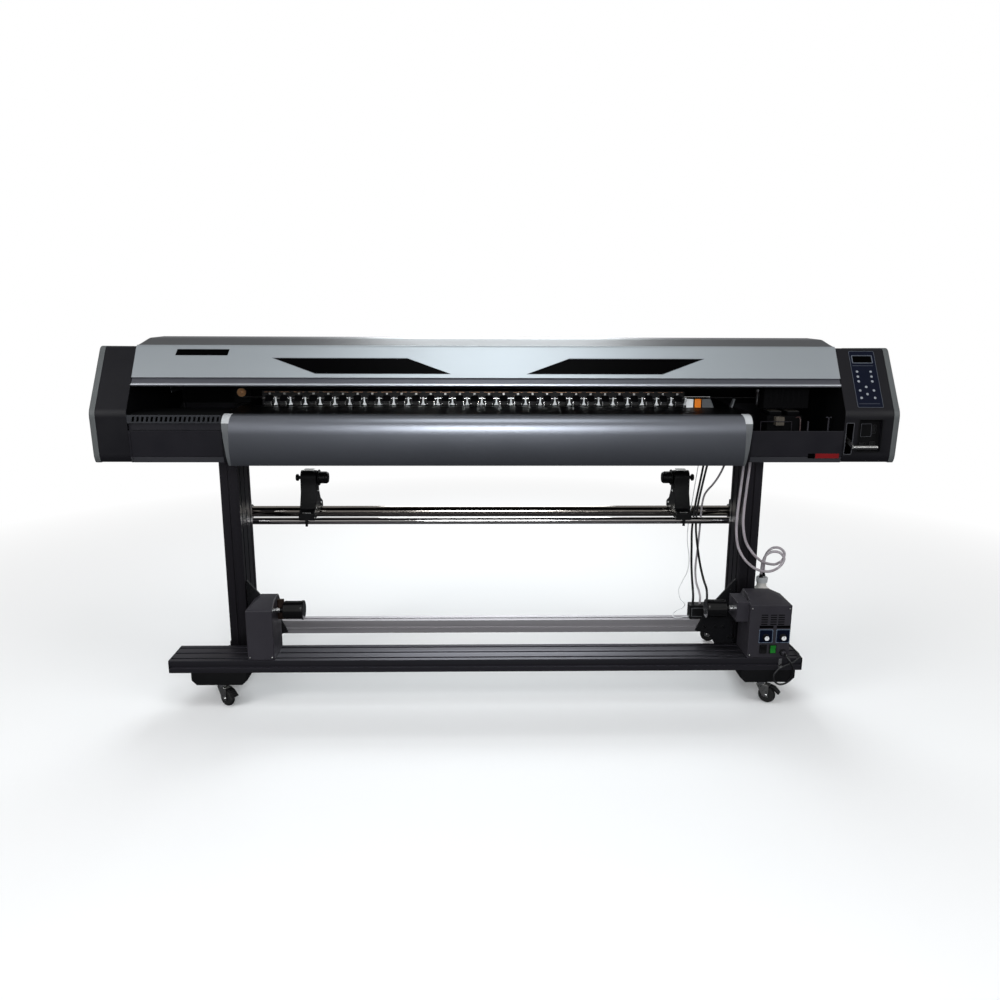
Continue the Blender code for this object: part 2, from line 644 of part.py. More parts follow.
def media_bar(name):
    y, z, radius = MEDIA_BARS[name]
    left = arm_face(LEFT_LEG_X) + GAP
    length = arm_face(RIGHT_LEG_X) - GAP - left
    return lathe(name, [(0, radius), (length, radius)], (left, y, z), (1, 0, 0), CHROME)


# ---- casters ------------------------------------------------------------------------------
FRONT_CASTER_Y, REAR_CASTER_Y = -0.258, 0.310
WHEEL_RADIUS = 0.031
WHEEL_HALF = 0.0095
CASTER_TRAIL = 0.021
BRAKE_PIVOT = (0.036, 0.0, 0.0668)           # ahead of the swivel, sideways, up
CASTERS = {"front_left": (LEFT_FOOT_X, FRONT_CASTER_Y, -35),
           "front_right": (RIGHT_FOOT_X - 0.006, FRONT_CASTER_Y, -35),
           "rear_left": (LEFT_LEG_X, REAR_CASTER_Y, 150),
           "rear_right": (RIGHT_LEG_X, REAR_CASTER_Y, 150)}


def caster(place):
    """Swivel fork, wheel and, in front, a brake pedal; they trail in the direction given."""
    x, y, heading = CASTERS[place]
    turn = Matrix.Translation((x, y, 0)) @ Matrix.Rotation(math.radians(heading), 4, "Z")
    top = FOOT_BOTTOM - GAP
    crown = 0.0665
    cheek, sheet = 0.0125, 0.0025
    fork_shape = [(-cheek - sheet, 0.024), (-cheek, 0.024), (-cheek, crown), (cheek, crown), (cheek, 0.024),
                  (cheek + sheet, 0.024), (cheek + sheet, crown + 0.004), (-cheek - sheet, crown + 0.004)]
    fork = prism(f"fork_{place}", fork_shape, -0.016, 0.030, STEEL)
    for vert in fork.data.vertices:
        if vert.co.z < crown - 0.001 and vert.co.x < 0.0:
            vert.co.x = CASTER_TRAIL - 0.012
    race = lathe("race", [(crown + 0.002, 0.012), (top - 0.004, 0.022), (top, 0.022)], (0, 0, 0), (0, 0, 1),
                 STEEL, sides=20)
    for piece in (fork, race):
        piece.data.transform(turn)
        piece.data.transform(Matrix.Translation((-x, -y, 0)))
        piece.location = (x, y, 0)
    weld(fork, race)
    hub = turn @ Vector((CASTER_TRAIL, 0, WHEEL_RADIUS))
    axle = turn.to_3x3() @ Vector((0, 1, 0))
    tread = [(-WHEEL_HALF, 0.020), (-WHEEL_HALF, WHEEL_RADIUS - 0.003), (-WHEEL_HALF + 0.003, WHEEL_RADIUS),
             (WHEEL_HALF - 0.003, WHEEL_RADIUS), (WHEEL_HALF, WHEEL_RADIUS - 0.003), (WHEEL_HALF, 0.020)]
    lathe(f"wheel_{place}", tread, hub, axle, RUBBER, sides=32)
    if place.startswith("front"):
        shape = [(0.0315, 0.0645), (0.033, 0.071), (0.048, 0.067), (0.069, 0.047), (0.065, 0.043), (0.046, 0.058)]
        pivot = turn @ Vector(BRAKE_PIVOT)
        pedal = [turn @ Vector((a, side * 0.012, b)) for side in (-1, 1) for a, b in shape]
        work = bmesh.new()
        verts = [work.verts.new(spot) for spot in pedal]
        count = len(shape)
        work.faces.new(verts[:count])
        work.faces.new(verts[count:])
        for i in range(count):
            j = (i + 1) % count
            work.faces.new((verts[i], verts[j], verts[count + j], verts[count + i]))
        bmesh.ops.recalc_face_normals(work, faces=work.faces)
        mesh = bpy.data.meshes.new(f"brake_{place}")
        work.to_mesh(mesh)
        work.free()
        finish_mesh(f"brake_{place}", mesh, STEEL, pivot, 30)


# ---- media roll holders -------------------------------------------------------------------
HOLDER_X = 0.7445
HOLDER_HALF = 0.031
CORE_AXIS = (0.190, 0.756)
HOLDER_LOW = 0.6245


def holder_profile():
    """Side outline: feet that sit on the two media bars, and a post with a round head."""
    front_y, front_z, front_r = MEDIA_BARS["front_media_bar"]
    rear_y, rear_z, rear_r = MEDIA_BARS["rear_media_bar"]
    front_seat = arc((front_y, front_z), front_r + 0.001, 150, 30, 6)
    rear_seat = arc((rear_y, rear_z), rear_r + 0.001, 150, 30, 6)
    head = arc(CORE_AXIS, 0.030, -20, 200, 10)
    return ([(0.098, 0.602), *front_seat, (0.142, 0.602), (0.228, 0.611), *rear_seat, (0.290, 0.611),
             (0.290, 0.640), (0.246, 0.662), (0.222, 0.700)] + head + [(0.158, 0.700), (0.128, 0.640),
                                                                     (0.098, 0.628)])


def roll_holder(side):
    """Sliding support for one end of the media roll; side is -1 on the left, 1 on the right."""
    label = "left" if side < 0 else "right"
    x = side * HOLDER_X
    holder = prism(f"{label}_roll_holder", holder_profile(), x - HOLDER_HALF, x + HOLDER_HALF, BLACK,
                   origin=(x, *CORE_AXIS))
    inner = x - side * (HOLDER_HALF + GAP)
    profile = [(0, 0.024), (0.006, 0.032), (0.010, 0.032), (0.010, 0.0245), (0.042, 0.0225), (0.045, 0.019)]
    lathe(f"{label}_core_chuck", profile, (inner, *CORE_AXIS), (-side, 0, 0), BLACK)
    outer = x + side * (HOLDER_HALF + GAP)
    knob = [(0, 0.007), (0.010, 0.007), (0.012, 0.013), (0.020, 0.013), (0.022, 0.010)]
    lathe(f"{label}_lock_knob", knob, (outer, *CORE_AXIS), (side, 0, 0), BLACK, sides=16)
    return holder


# ---- take-up unit -------------------------------------------------------------------------
TAKEUP_AXIS = (-0.230, 0.352)
SUPPORT_X = (-0.895, -0.800)
MOTOR_X = (0.905, 1.056)
HOUSING_BACK = -0.165


def hipped_box(name, x_range, roof_x, z_roof, z_top, finish, origin=(0, 0, 0)):
    """Box whose roof rises from the front edge to a shorter ridge at the back."""
    x0, x1 = x_range
    front, back, low = BEAM_FRONT + 0.003, HOUSING_BACK, BEAM_TOP + GAP
    work = bmesh.new()
    corners = [(x0, front), (x1, front), (x1, back), (x0, back)]
    floor = [work.verts.new((x, y, low)) for x, y in corners]
    eaves = [work.verts.new((x, y, z_roof)) for x, y in corners]
    ridge_front = front + 0.075
    ridge = [work.verts.new((x, y, z_top)) for x, y in ((roof_x[0], ridge_front), (roof_x[1], ridge_front),
                                                       (roof_x[1], back + 0.004), (roof_x[0], back + 0.004))]
    work.faces.new(floor)
    work.faces.new(ridge)
    for lower, upper in ((floor, eaves), (eaves, ridge)):
        for i in range(4):
            j = (i + 1) % 4
            work.faces.new((lower[i], lower[j], upper[j], upper[i]))
    bmesh.ops.recalc_face_normals(work, faces=work.faces)
    mesh = bpy.data.meshes.new(name)
    work.to_mesh(mesh)
    work.free()
    return finish_mesh(name, mesh, finish, origin, 10)


def takeup_chuck(name, start_x, direction):
    """Ribbed plug that grips the core, with its flange and shaft."""
    profile = [(0, 0.010), (0.014, 0.010), (0.014, 0.030), (0.018, 0.030), (0.018, 0.020), (0.030, 0.020)]
    for k in range(3):
        start = 0.030 + k * 0.022
        profile += [(start, 0.0385), (start + 0.014, 0.0375), (start + 0.014, 0.033), (start + 0.022, 0.033)]
    profile += [(0.100, 0.028)]
    return lathe(name, profile, (start_x, *TAKEUP_AXIS), (direction, 0, 0), BLACK)


def takeup_motor_box():
    """Motor and speed control housing, with the gear housing on its left side."""
    box = hipped_box("takeup_motor_box", MOTOR_X, (0.915, 1.012), 0.386, 0.405, DARK)
    gears = block("gears", (0.862, BEAM_FRONT + 0.022, 0.318), (MOTOR_X[0] + 0.002, HOUSING_BACK - 0.012, 0.392),
                  DARK)
    weld(box, gears)
    gland = lathe("gland", [(0, 0.010), (0.014, 0.010), (0.020, 0.007)], (1.034, BEAM_FRONT + 0.005, 0.208),
                  (0, -1, 0), BLACK, sides=14)
    weld(box, gland)
    half_w, half_h = (half + ROCKER_PLAY for half in ROCKER_HALF)
    wells = [block("well", (x - half_w, BEAM_FRONT - 0.01, ROCKER_Z - half_h),
                   (x + half_w, BEAM_FRONT + 0.003 + ROCKER_WELL, ROCKER_Z + half_h), DARK) for x in ROCKER_X]
    return cut(box, join_tools(wells))


KNOB_X = (0.968, 1.030)
KNOB_Z = 0.266
ROCKER_X = (0.961, 0.996)
ROCKER_Z = 0.221
ROCKER_HALF = (0.0095, 0.0135)
ROCKER_PLAY = 0.0007         # around each rocker in its well
ROCKER_WELL = 0.0035         # depth of the well


def takeup_controls():
    face = BEAM_FRONT + 0.003 - GAP
    for x, label in zip(KNOB_X, ("speed", "torque")):
        profile = [(0, 0.013), (0.003, 0.013), (0.004, 0.0105), (0.012, 0.0095), (0.013, 0.0085)]
        lathe(f"{label}_knob", profile, (x, face, KNOB_Z), (0, -1, 0), BLACK, sides=20)
    for x, label, finish in zip(ROCKER_X, ("direction", "power"), (BLACK, GREEN)):
        half_w, half_h = ROCKER_HALF
        shape = [(face, ROCKER_Z - half_h), (face - 0.006, ROCKER_Z - half_h), (face - 0.0035, ROCKER_Z),
                 (face - 0.006, ROCKER_Z + half_h), (face, ROCKER_Z + half_h)]
        prism(f"{label}_rocker", [(y - 0.001, z) for y, z in shape], x - half_w, x + half_w, finish,
              origin=(x, face - 0.001, ROCKER_Z))


# ---- waste ink ----------------------------------------------------------------------------
BOTTLE = (1.030, -0.030)
BOTTLE_RADIUS = 0.038
CAP_TOP = 0.408


def waste_bottle():
    """Bottle that stands on the right foot, with its screw cap."""
    floor = FOOT_TOP + GAP
    profile = [(0, BOTTLE_RADIUS - 0.004), (0.004, BOTTLE_RADIUS), (0.205, BOTTLE_RADIUS),
               (0.222, 0.030), (0.232, 0.018), (0.250, 0.018)]
    bottle = lathe("waste_bottle", profile, (*BOTTLE, floor), (0, 0, 1), WHITE, sides=28)
    cap = lathe("cap", [(0.248, 0.021), (CAP_TOP - floor - 0.002, 0.021), (CAP_TOP - floor, 0.019)],
                (*BOTTLE, floor), (0, 0, 1), BLACK, sides=28)
    return weld(bottle, cap)


# ---- cords --------------------------------------------------------------------------------
POWER_BOX_X = (0.747, 0.830)
POWER_BOX_TOP = 0.303
GLANDS = [(0.897, -0.128), (0.921, -0.128), (0.845, 0.205), (0.869, 0.205), (0.900, 0.100), (0.822, 0.205)]
GLAND_END = BODY_BOTTOM - 0.008 - GAP


def power_box():
    """Small supply on top of the cross beam, behind the gusset."""
    low = 0.248 + GAP
    return block("power_box", (POWER_BOX_X[0], -0.0655, low), (POWER_BOX_X[1], -0.0225, POWER_BOX_TOP), BLACK)


ROUTES = {
    "waste_tube_left": (0.010, TUBE, [
        (0.897, -0.128, GLAND_END), (0.897, -0.128, 0.860), (0.892, -0.129, 0.780), (0.886, -0.131, 0.690),
        (0.886, -0.131, 0.620), (0.898, -0.129, 0.555), (0.928, -0.125, 0.505), (0.968, -0.117, 0.470),
        (1.010, -0.100, 0.452), (1.052, -0.078, 0.447), (1.088, -0.060, 0.462), (1.101, -0.056, 0.487),
        (1.088, -0.052, 0.508), (1.062, -0.048, 0.514), (1.036, -0.044, 0.500), (1.025, -0.041, 0.472),
        (1.022, -0.040, 0.440), (1.022, -0.040, CAP_TOP + GAP)]),
    "waste_tube_right": (0.010, TUBE, [
        (0.921, -0.128, GLAND_END), (0.920, -0.128, 0.860), (0.914, -0.130, 0.780), (0.909, -0.132, 0.700),
        (0.911, -0.131, 0.635), (0.926, -0.128, 0.575), (0.958, -0.121, 0.528), (0.994, -0.104, 0.495),
        (1.040, -0.064, 0.470), (1.080, -0.036, 0.461), (1.106, -0.028, 0.476), (1.111, -0.025, 0.502),
        (1.093, -0.022, 0.520), (1.066, -0.020, 0.520), (1.046, -0.019, 0.500), (1.038, -0.018, 0.470),
        (1.038, -0.018, 0.440), (1.038, -0.018, CAP_TOP + GAP)]),
    "power_cable_left": (0.009, BLACK, [
        (0.845, 0.205, GLAND_END), (0.845, 0.205, 0.865), (0.838, 0.205, 0.800), (0.826, 0.204, 0.720),
        (0.815, 0.202, 0.650), (0.808, 0.198, 0.590), (0.800, 0.180, 0.540), (0.790, 0.130, 0.478),
        (0.778, 0.070, 0.423), (0.768, 0.010, 0.384), (0.762, -0.032, 0.360), (0.762, -0.044, 0.334),
        (0.762, -0.044, POWER_BOX_TOP + GAP)]),
    "power_cable_right": (0.009, BLACK, [
        (0.869, 0.205, GLAND_END), (0.867, 0.205, 0.865), (0.853, 0.205, 0.800), (0.838, 0.204, 0.720),
        (0.826, 0.202, 0.650), (0.820, 0.199, 0.590), (0.818, 0.185, 0.535), (0.818, 0.140, 0.470),
        (0.817, 0.080, 0.415), (0.816, 0.015, 0.378), (0.816, -0.032, 0.358), (0.816, -0.044, 0.334),
        (0.816, -0.044, POWER_BOX_TOP + GAP)]),
    "signal_cable": (0.008, TUBE, [
        (0.900, 0.100, GLAND_END), (0.900, 0.101, 0.868), (0.894, 0.108, 0.820), (0.878, 0.124, 0.770),
        (0.864, 0.147, 0.734), (0.855, 0.176, 0.708), (0.849, 0.205, 0.678), (0.846, 0.220, 0.635),
        (0.844, 0.222, 0.585), (0.838, 0.206, 0.525), (0.822, 0.160, 0.462), (0.802, 0.100, 0.402),
        (0.790, 0.030, 0.366), (0.788, -0.028, 0.348), (0.789, -0.044, 0.330),
        (0.789, -0.044, POWER_BOX_TOP + GAP)]),
    "sensor_wire": (0.003, WHITE, [
        (0.822, 0.205, GLAND_END), (0.822, 0.205, 0.860), (0.817, 0.205, 0.800), (0.808, 0.205, 0.720),
        (0.800, 0.204, 0.650), (0.790, 0.200, 0.580), (0.782, 0.175, 0.500), (0.777, 0.110, 0.440),
        (0.760, 0.060, 0.400), (0.732, 0.020, 0.372), (0.712, -0.012, 0.345), (0.716, -0.034, 0.318),
        (0.732, -0.040, 0.300), (0.726, -0.036, 0.284), (0.704, -0.034, 0.272), (0.690, -0.038, 0.260),
        (0.688, -0.048, 0.2515), (0.700, -0.056, 0.2502), (0.716, -0.053, 0.2502), (0.728, -0.050, 0.2520),
        (0.737, -0.050, 0.2525), (POWER_BOX_X[0] - GAP, -0.050, 0.2525)]),
    "takeup_cable": (0.007, BLACK, [
        (1.034, -0.3155, 0.208), (1.034, -0.327, 0.208), (1.037, -0.3375, 0.204), (1.045, -0.345, 0.193),
        (1.054, -0.346, 0.174), (1.060, -0.341, 0.150), (1.058, -0.333, 0.122), (1.044, -0.325, 0.100),
        (1.022, -0.320, 0.093), (1.005, -0.316, 0.104), (1.003, -0.3135, 0.126), (1.016, -0.3125, 0.146),
        (1.040, -0.3125, 0.161), (1.066, -0.3125, 0.173), (1.085, -0.309, 0.186), (1.095, -0.294, 0.1955),
        (1.099, -0.268, 0.1935), (1.099, -0.240, 0.192), (1.094, -0.216, 0.196), (1.080, -0.203, 0.200),
        (MOTOR_X[1] + GAP, -0.203, 0.200)]),
}


# ---- assembly -----------------------------------------------------------------------------
side_trim("left_side_trim", -WIDTH / 2, 1)
side_trim("right_side_trim", WIDTH / 2, -1)
end_cap("left_end_cap", LEFT_IN, -WIDTH / 2 + TRIM + GAP)
right_end_cap()
top_cover()
lid()
lower_housing()
platen()
apron()
louvred_panel()

guide_rail()
carriage()
cutter_holder()
drive_belt()
idler_pulley()
grit_roller()
pinch_bank()
pinch_lever()
capping_station()

leg("left_leg", LEFT_LEG_X)
leg("right_leg", RIGHT_LEG_X)
foot("left_foot", LEFT_FOOT_X, -0.050, LEFT_LEG_X)
foot("right_foot", RIGHT_FOOT_X, 0.014, RIGHT_LEG_X)
cross_beam()
takeup_beam()
for bar in MEDIA_BARS:
    media_bar(bar)
for corner in CASTERS:
    caster(corner)
for hand in (-1, 1):
    roll_holder(hand)

hipped_box("takeup_support", SUPPORT_X, (-0.868, -0.806), 0.372, 0.391, DARK,
           origin=(SUPPORT_X[0], BEAM_FRONT, BEAM_TOP))
takeup_chuck("takeup_idle_chuck", SUPPORT_X[1] + GAP, 1)
takeup_motor_box()
takeup_chuck("takeup_drive_chuck", 0.862 - GAP, -1)
takeup_controls()
waste_bottle()
power_box()
for cord_name, (thickness, finish, route) in ROUTES.items():
    cord(cord_name, route, thickness, finish)
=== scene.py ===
"""Looks of a wide roll-to-roll sign printer with a take-up unit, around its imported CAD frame.

Frame: X to the right seen from the front, Y to the back, Z up, in metres.  Every new mesh is made
in frame coordinates, so that object coordinates in the materials are metres on the machine.
"""
import json
import math

import bpy
import bmesh
from mathutils import Matrix, Vector

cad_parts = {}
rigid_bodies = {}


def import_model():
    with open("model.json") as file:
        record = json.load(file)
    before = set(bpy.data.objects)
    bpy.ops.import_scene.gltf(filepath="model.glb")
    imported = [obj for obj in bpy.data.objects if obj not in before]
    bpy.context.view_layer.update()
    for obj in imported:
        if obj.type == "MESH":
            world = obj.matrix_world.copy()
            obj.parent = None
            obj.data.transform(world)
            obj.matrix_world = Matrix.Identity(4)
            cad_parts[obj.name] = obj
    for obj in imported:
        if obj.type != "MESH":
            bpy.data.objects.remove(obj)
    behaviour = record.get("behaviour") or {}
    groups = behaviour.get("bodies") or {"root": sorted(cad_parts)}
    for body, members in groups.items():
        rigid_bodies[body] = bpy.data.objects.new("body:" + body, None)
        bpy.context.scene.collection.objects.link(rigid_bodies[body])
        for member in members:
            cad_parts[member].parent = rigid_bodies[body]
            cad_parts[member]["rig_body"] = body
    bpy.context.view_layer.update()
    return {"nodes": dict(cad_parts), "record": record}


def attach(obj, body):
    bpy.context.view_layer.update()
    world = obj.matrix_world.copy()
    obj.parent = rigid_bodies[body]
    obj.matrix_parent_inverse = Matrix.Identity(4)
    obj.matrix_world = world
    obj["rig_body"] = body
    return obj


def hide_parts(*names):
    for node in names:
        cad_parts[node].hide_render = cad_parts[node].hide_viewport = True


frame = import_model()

# ---- driving dimensions, as the CAD has them ------------------------------------------------
GAP = 0.0003
NOSE_Y, NOSE_Z = -0.300, 1.076
BODY_BOTTOM, BODY_TOP, TOP_BACK = 0.906, 1.288, 1.269
TOP_FRONT_Y, REAR_Y = -0.158, 0.300
SLOPE = (BODY_TOP - NOSE_Z) / (TOP_FRONT_Y - NOSE_Y)
SLOPE_ANGLE = math.atan2(BODY_TOP - NOSE_Z, TOP_FRONT_Y - NOSE_Y)
SHEET = 0.004


# ---- camera, floor and light ----------------------------------------------------------------
def camera():
    """Straight from the front, a little above the machine, looking 13 degrees down."""
    lens = bpy.data.cameras.new("camera")
    lens.lens = 30.8
    lens.sensor_width = 36.0
    made = bpy.data.objects.new("camera", lens)
    bpy.context.collection.objects.link(made)
    pitch, yaw, roll = 0.227, 0.022, 0.004
    made.matrix_world = (Matrix.Translation((-0.057, -3.174, 1.44))
                         @ Matrix.Rotation(-yaw, 4, "Z")
                         @ Matrix.Rotation(math.pi / 2 - pitch, 4, "X")
                         @ Matrix.Rotation(roll, 4, "Z"))
    bpy.context.scene.camera = made


def softbox(name, centre, target, width, height, watts, colour=(1.0, 1.0, 1.0)):
    """Area light that looks at a target and doesn't show itself."""
    data = bpy.data.lights.new(name, "AREA")
    data.shape = "RECTANGLE"
    data.size = width
    data.size_y = height
    data.energy = watts
    data.color = colour
    made = bpy.data.objects.new(name, data)
    made.location = centre
    made.rotation_euler = (Vector(target) - Vector(centre)).to_track_quat("-Z", "Y").to_euler()
    made.visible_camera = False
    bpy.context.collection.objects.link(made)


def studio():
    """Pale floor that runs into a white background, a soft sky and five soft boxes."""
    bpy.context.scene.view_settings.view_transform = "Standard"
    world = bpy.data.worlds.new("studio")
    world.use_nodes = True
    nodes, links = world.node_tree.nodes, world.node_tree.links
    seen = nodes.new("ShaderNodeLightPath")
    level = nodes.new("ShaderNodeMapRange")
    level.inputs["To Min"].default_value = 0.36
    level.inputs["To Max"].default_value = 1.0
    links.new(seen.outputs["Is Camera Ray"], level.inputs["Value"])
    nodes["Background"].inputs["Color"].default_value = (1.0, 1.0, 1.0, 1.0)
    links.new(level.outputs["Result"], nodes["Background"].inputs["Strength"])
    bpy.context.scene.world = world

    work = bmesh.new()
    bmesh.ops.create_circle(work, cap_ends=True, segments=96, radius=40.0)
    mesh = bpy.data.meshes.new("floor")
    work.to_mesh(mesh)
    work.free()
    floor = bpy.data.objects.new("floor", mesh)
    bpy.context.collection.objects.link(floor)
    paint = bpy.data.materials.new("pale_floor")
    paint.use_nodes = True
    nodes, links = paint.node_tree.nodes, paint.node_tree.links
    near = nodes["Principled BSDF"]
    near.inputs["Base Color"].default_value = (0.93, 0.93, 0.935, 1.0)
    near.inputs["Roughness"].default_value = 0.7
    bounced = nodes.new("ShaderNodeBsdfDiffuse")
    bounced.inputs["Color"].default_value = (0.07, 0.07, 0.075, 1.0)
    seen = nodes.new("ShaderNodeLightPath")
    either = nodes.new("ShaderNodeMixShader")
    far = nodes.new("ShaderNodeEmission")
    far.inputs["Strength"].default_value = 1.0
    place = nodes.new("ShaderNodeTexCoord")
    distance = nodes.new("ShaderNodeVectorMath")
    distance.operation = "LENGTH"
    fade = nodes.new("ShaderNodeMapRange")
    fade.inputs["From Min"].default_value = 1.0
    fade.inputs["From Max"].default_value = 4.0
    blend = nodes.new("ShaderNodeMixShader")
    links.new(place.outputs["Object"], distance.inputs[0])
    links.new(distance.outputs["Value"], fade.inputs["Value"])
    links.new(fade.outputs["Result"], blend.inputs[0])
    links.new(near.outputs[0], blend.inputs[1])
    links.new(far.outputs[0], blend.inputs[2])
    links.new(seen.outputs["Is Camera Ray"], either.inputs[0])
    links.new(bounced.outputs[0], either.inputs[1])
    links.new(blend.outputs[0], either.inputs[2])
    links.new(either.outputs[0], nodes["Material Output"].inputs["Surface"])
    mesh.materials.append(paint)

    softbox("key", (0.03, -1.15, 3.20), (0.03, -0.20, 1.23), 1.2, 1.3, 19.0, (0.93, 0.98, 1.0))
    softbox("back_strip", (0.06, 3.0, 2.45), (0.1, 0, 1.3), 1.8, 1.6, 84.0, (0.93, 0.98, 1.0))
    softbox("front_strip", (0.03, -3.7, 1.85), (0.03, -0.35, 1.04), 1.1, 1.1, 64.0, (0.94, 0.98, 1.0))
    softbox("left_fill", (-3.4, -2.6, 2.3), (-0.4, 0, 0.8), 1.6, 2.2, 56.0)
    softbox("right_fill", (3.4, -2.6, 2.3), (0.4, 0, 0.8), 1.6, 2.2, 34.0)


# ---- finishes -------------------------------------------------------------------------------
class Finish:
    """A Principled material with its grain, mottling and wear made by nodes in object space."""

    def __init__(self, name, colour, roughness, metallic=0.0, coat=0.0, specular=0.5):
        self.material = bpy.data.materials.new(name)
        self.material.use_nodes = True
        self.nodes = self.material.node_tree.nodes
        self.links = self.material.node_tree.links
        self.shader = self.nodes["Principled BSDF"]
        self.colour = colour
        self.roughness = roughness
        self.shader.inputs["Base Color"].default_value = (*colour, 1.0)
        self.shader.inputs["Roughness"].default_value = roughness
        self.shader.inputs["Metallic"].default_value = metallic
        self.shader.inputs["Specular IOR Level"].default_value = specular
        self.shader.inputs["Coat Weight"].default_value = coat
        self.shader.inputs["Coat Roughness"].default_value = 0.08
        self.material.diffuse_color = (*colour, 1.0)
        self.place = self.nodes.new("ShaderNodeTexCoord").outputs["Object"]

    def noise(self, scale, detail=3.0, stretch=(1, 1, 1)):
        """Noise at a number of features per metre, drawn out along an axis where stretch is small."""
        mapping = self.nodes.new("ShaderNodeMapping")
        mapping.inputs["Scale"].default_value = [scale * s for s in stretch]
        texture = self.nodes.new("ShaderNodeTexNoise")
        texture.inputs["Scale"].default_value = 1.0
        texture.inputs["Detail"].default_value = detail
        self.links.new(self.place, mapping.inputs["Vector"])
        self.links.new(mapping.outputs["Vector"], texture.inputs["Vector"])
        return texture.outputs["Fac"]

    def remap(self, value, low, high, start=0.3, stop=0.7):
        node = self.nodes.new("ShaderNodeMapRange")
        for label, number in (("From Min", start), ("From Max", stop), ("To Min", low), ("To Max", high)):
            node.inputs[label].default_value = number
        self.links.new(value, node.inputs["Value"])
        return node.outputs["Result"]

    def blend(self, factor, first, second):
        """Mix two colours, each a plain colour or a node's output."""
        node = self.nodes.new("ShaderNodeMix")
        node.data_type = "RGBA"
        self.links.new(factor, node.inputs["Factor"])
        for socket, value in ((node.inputs[6], first), (node.inputs[7], second)):
            if isinstance(value, tuple):
                socket.default_value = (*value, 1.0)
            else:
                self.links.new(value, socket)
        return node.outputs[2]

    def mottle(self, scale, amount, stretch=(1, 1, 1)):
        """Let the colour drift lighter and darker."""
        dark = tuple(c * (1 - amount) for c in self.colour)
        light = tuple(c * (1 + amount) for c in self.colour)
        drift = self.remap(self.noise(scale, 4.0, stretch), 0.0, 1.0)
        self.tint = self.blend(drift, dark, light)
        self.links.new(self.tint, self.shader.inputs["Base Color"])
        return self

    def wear(self, colour, amount=0.5):
        """Lighter, rubbed edges where the surface bends sharply outwards."""
        edge = self.nodes.new("ShaderNodeNewGeometry").outputs["Pointiness"]
        share = self.remap(edge, 0.0, amount, 0.52, 0.62)
        self.tint = self.blend(share, self.tint, colour)
        self.links.new(self.tint, self.shader.inputs["Base Color"])
        return self

    def vary(self, scale, spread, stretch=(1, 1, 1)):
        """Let the roughness drift, as handling and dust do."""
        drift = self.remap(self.noise(scale, 4.0, stretch), self.roughness - spread, self.roughness + spread)
        self.links.new(drift, self.shader.inputs["Roughness"])
        return self

    def grain(self, scale, height, stretch=(1, 1, 1), strength=0.5):
        """Raised grain of a height in metres."""
        bump = self.nodes.new("ShaderNodeBump")
        bump.inputs["Distance"].default_value = height
        bump.inputs["Strength"].default_value = strength
        self.links.new(self.noise(scale, 2.0, stretch), bump.inputs["Height"])
        before = self.shader.inputs["Normal"]
        if before.is_linked:
            self.links.new(before.links[0].from_socket, bump.inputs["Normal"])
        self.links.new(bump.outputs["Normal"], before)
        return self


def powder_coat(name, colour, roughness=0.42, metallic=0.0, specular=0.22):
    """Baked paint: fine orange peel, soft drift and a little rubbing at the edges."""
    made = Finish(name, colour, roughness, metallic, specular=specular)
    made.mottle(5.0, 0.10)
    made.wear(tuple(min(1.0, c * 1.8 + 0.01) for c in colour), 0.4)
    made.vary(14.0, 0.05)
    made.grain(900.0, 0.00012)
    return made.material


def satin_paint(name, colour, roughness=0.42, metallic=0.7):
    """Even silver lacquer: very fine flakes, no rubbing."""
    made = Finish(name, colour, roughness, metallic)
    made.mottle(2.0, 0.03)
    made.vary(3.0, 0.015)
    made.grain(2500.0, 0.00003)
    return made.material


def moulded(name, colour, roughness=0.5, grain=0.00015, scale=1400.0, specular=0.3):
    """Injection-moulded plastic with a fine spark-eroded texture."""
    made = Finish(name, colour, roughness, specular=specular)
    made.mottle(9.0, 0.08)
    made.wear(tuple(c * 1.5 + 0.01 for c in colour), 0.4)
    made.vary(20.0, 0.06)
    made.grain(scale, grain)
    return made.material


def drawn_metal(name, colour, roughness, along, coat=0.0):
    """Extruded or drawn metal: fine lines along one axis and slow patches of tone."""
    stretch = tuple(0.012 if axis == along else 1.0 for axis in "XYZ")
    made = Finish(name, colour, roughness, 1.0, coat)
    made.mottle(60.0, 0.07, stretch)
    made.wear(tuple(min(1.0, c * 1.3 + 0.03) for c in colour), 0.5)
    made.vary(45.0, 0.05, stretch)
    made.grain(1500.0, 0.00008, stretch)
    return made.material


def cast_metal(name, colour, roughness):
    """Zinc-plated pressed steel with its faint spangle."""
    made = Finish(name, colour, roughness, 1.0)
    made.mottle(160.0, 0.10)
    made.wear(tuple(min(1.0, c * 1.2) for c in colour), 0.4)
    made.vary(90.0, 0.08)
    made.grain(700.0, 0.00010)
    return made.material


def glossy(name, colour, roughness=0.10, coat=0.3, specular=0.5):
    """Hard shiny plastic or lacquer with faint waves."""
    made = Finish(name, colour, roughness, 0.0, coat, specular)
    made.mottle(12.0, 0.06)
    made.vary(30.0, 0.03)
    made.grain(60.0, 0.00003)
    return made.material


def rubber(name, colour, roughness=0.7):
    """Dull elastomer, dusty in patches."""
    made = Finish(name, colour, roughness)
    made.mottle(30.0, 0.18)
    made.vary(60.0, 0.08)
    made.grain(900.0, 0.0002)
    return made.material


def hose(name, colour, roughness=0.35):
    """Slightly translucent tube wall."""
    made = Finish(name, colour, roughness)
    made.shader.inputs["Subsurface Weight"].default_value = 0.15
    made.shader.inputs["Subsurface Radius"].default_value = (0.004, 0.003, 0.003)
    made.mottle(25.0, 0.10)
    made.vary(40.0, 0.06)
    made.grain(500.0, 0.0001)
    return made.material


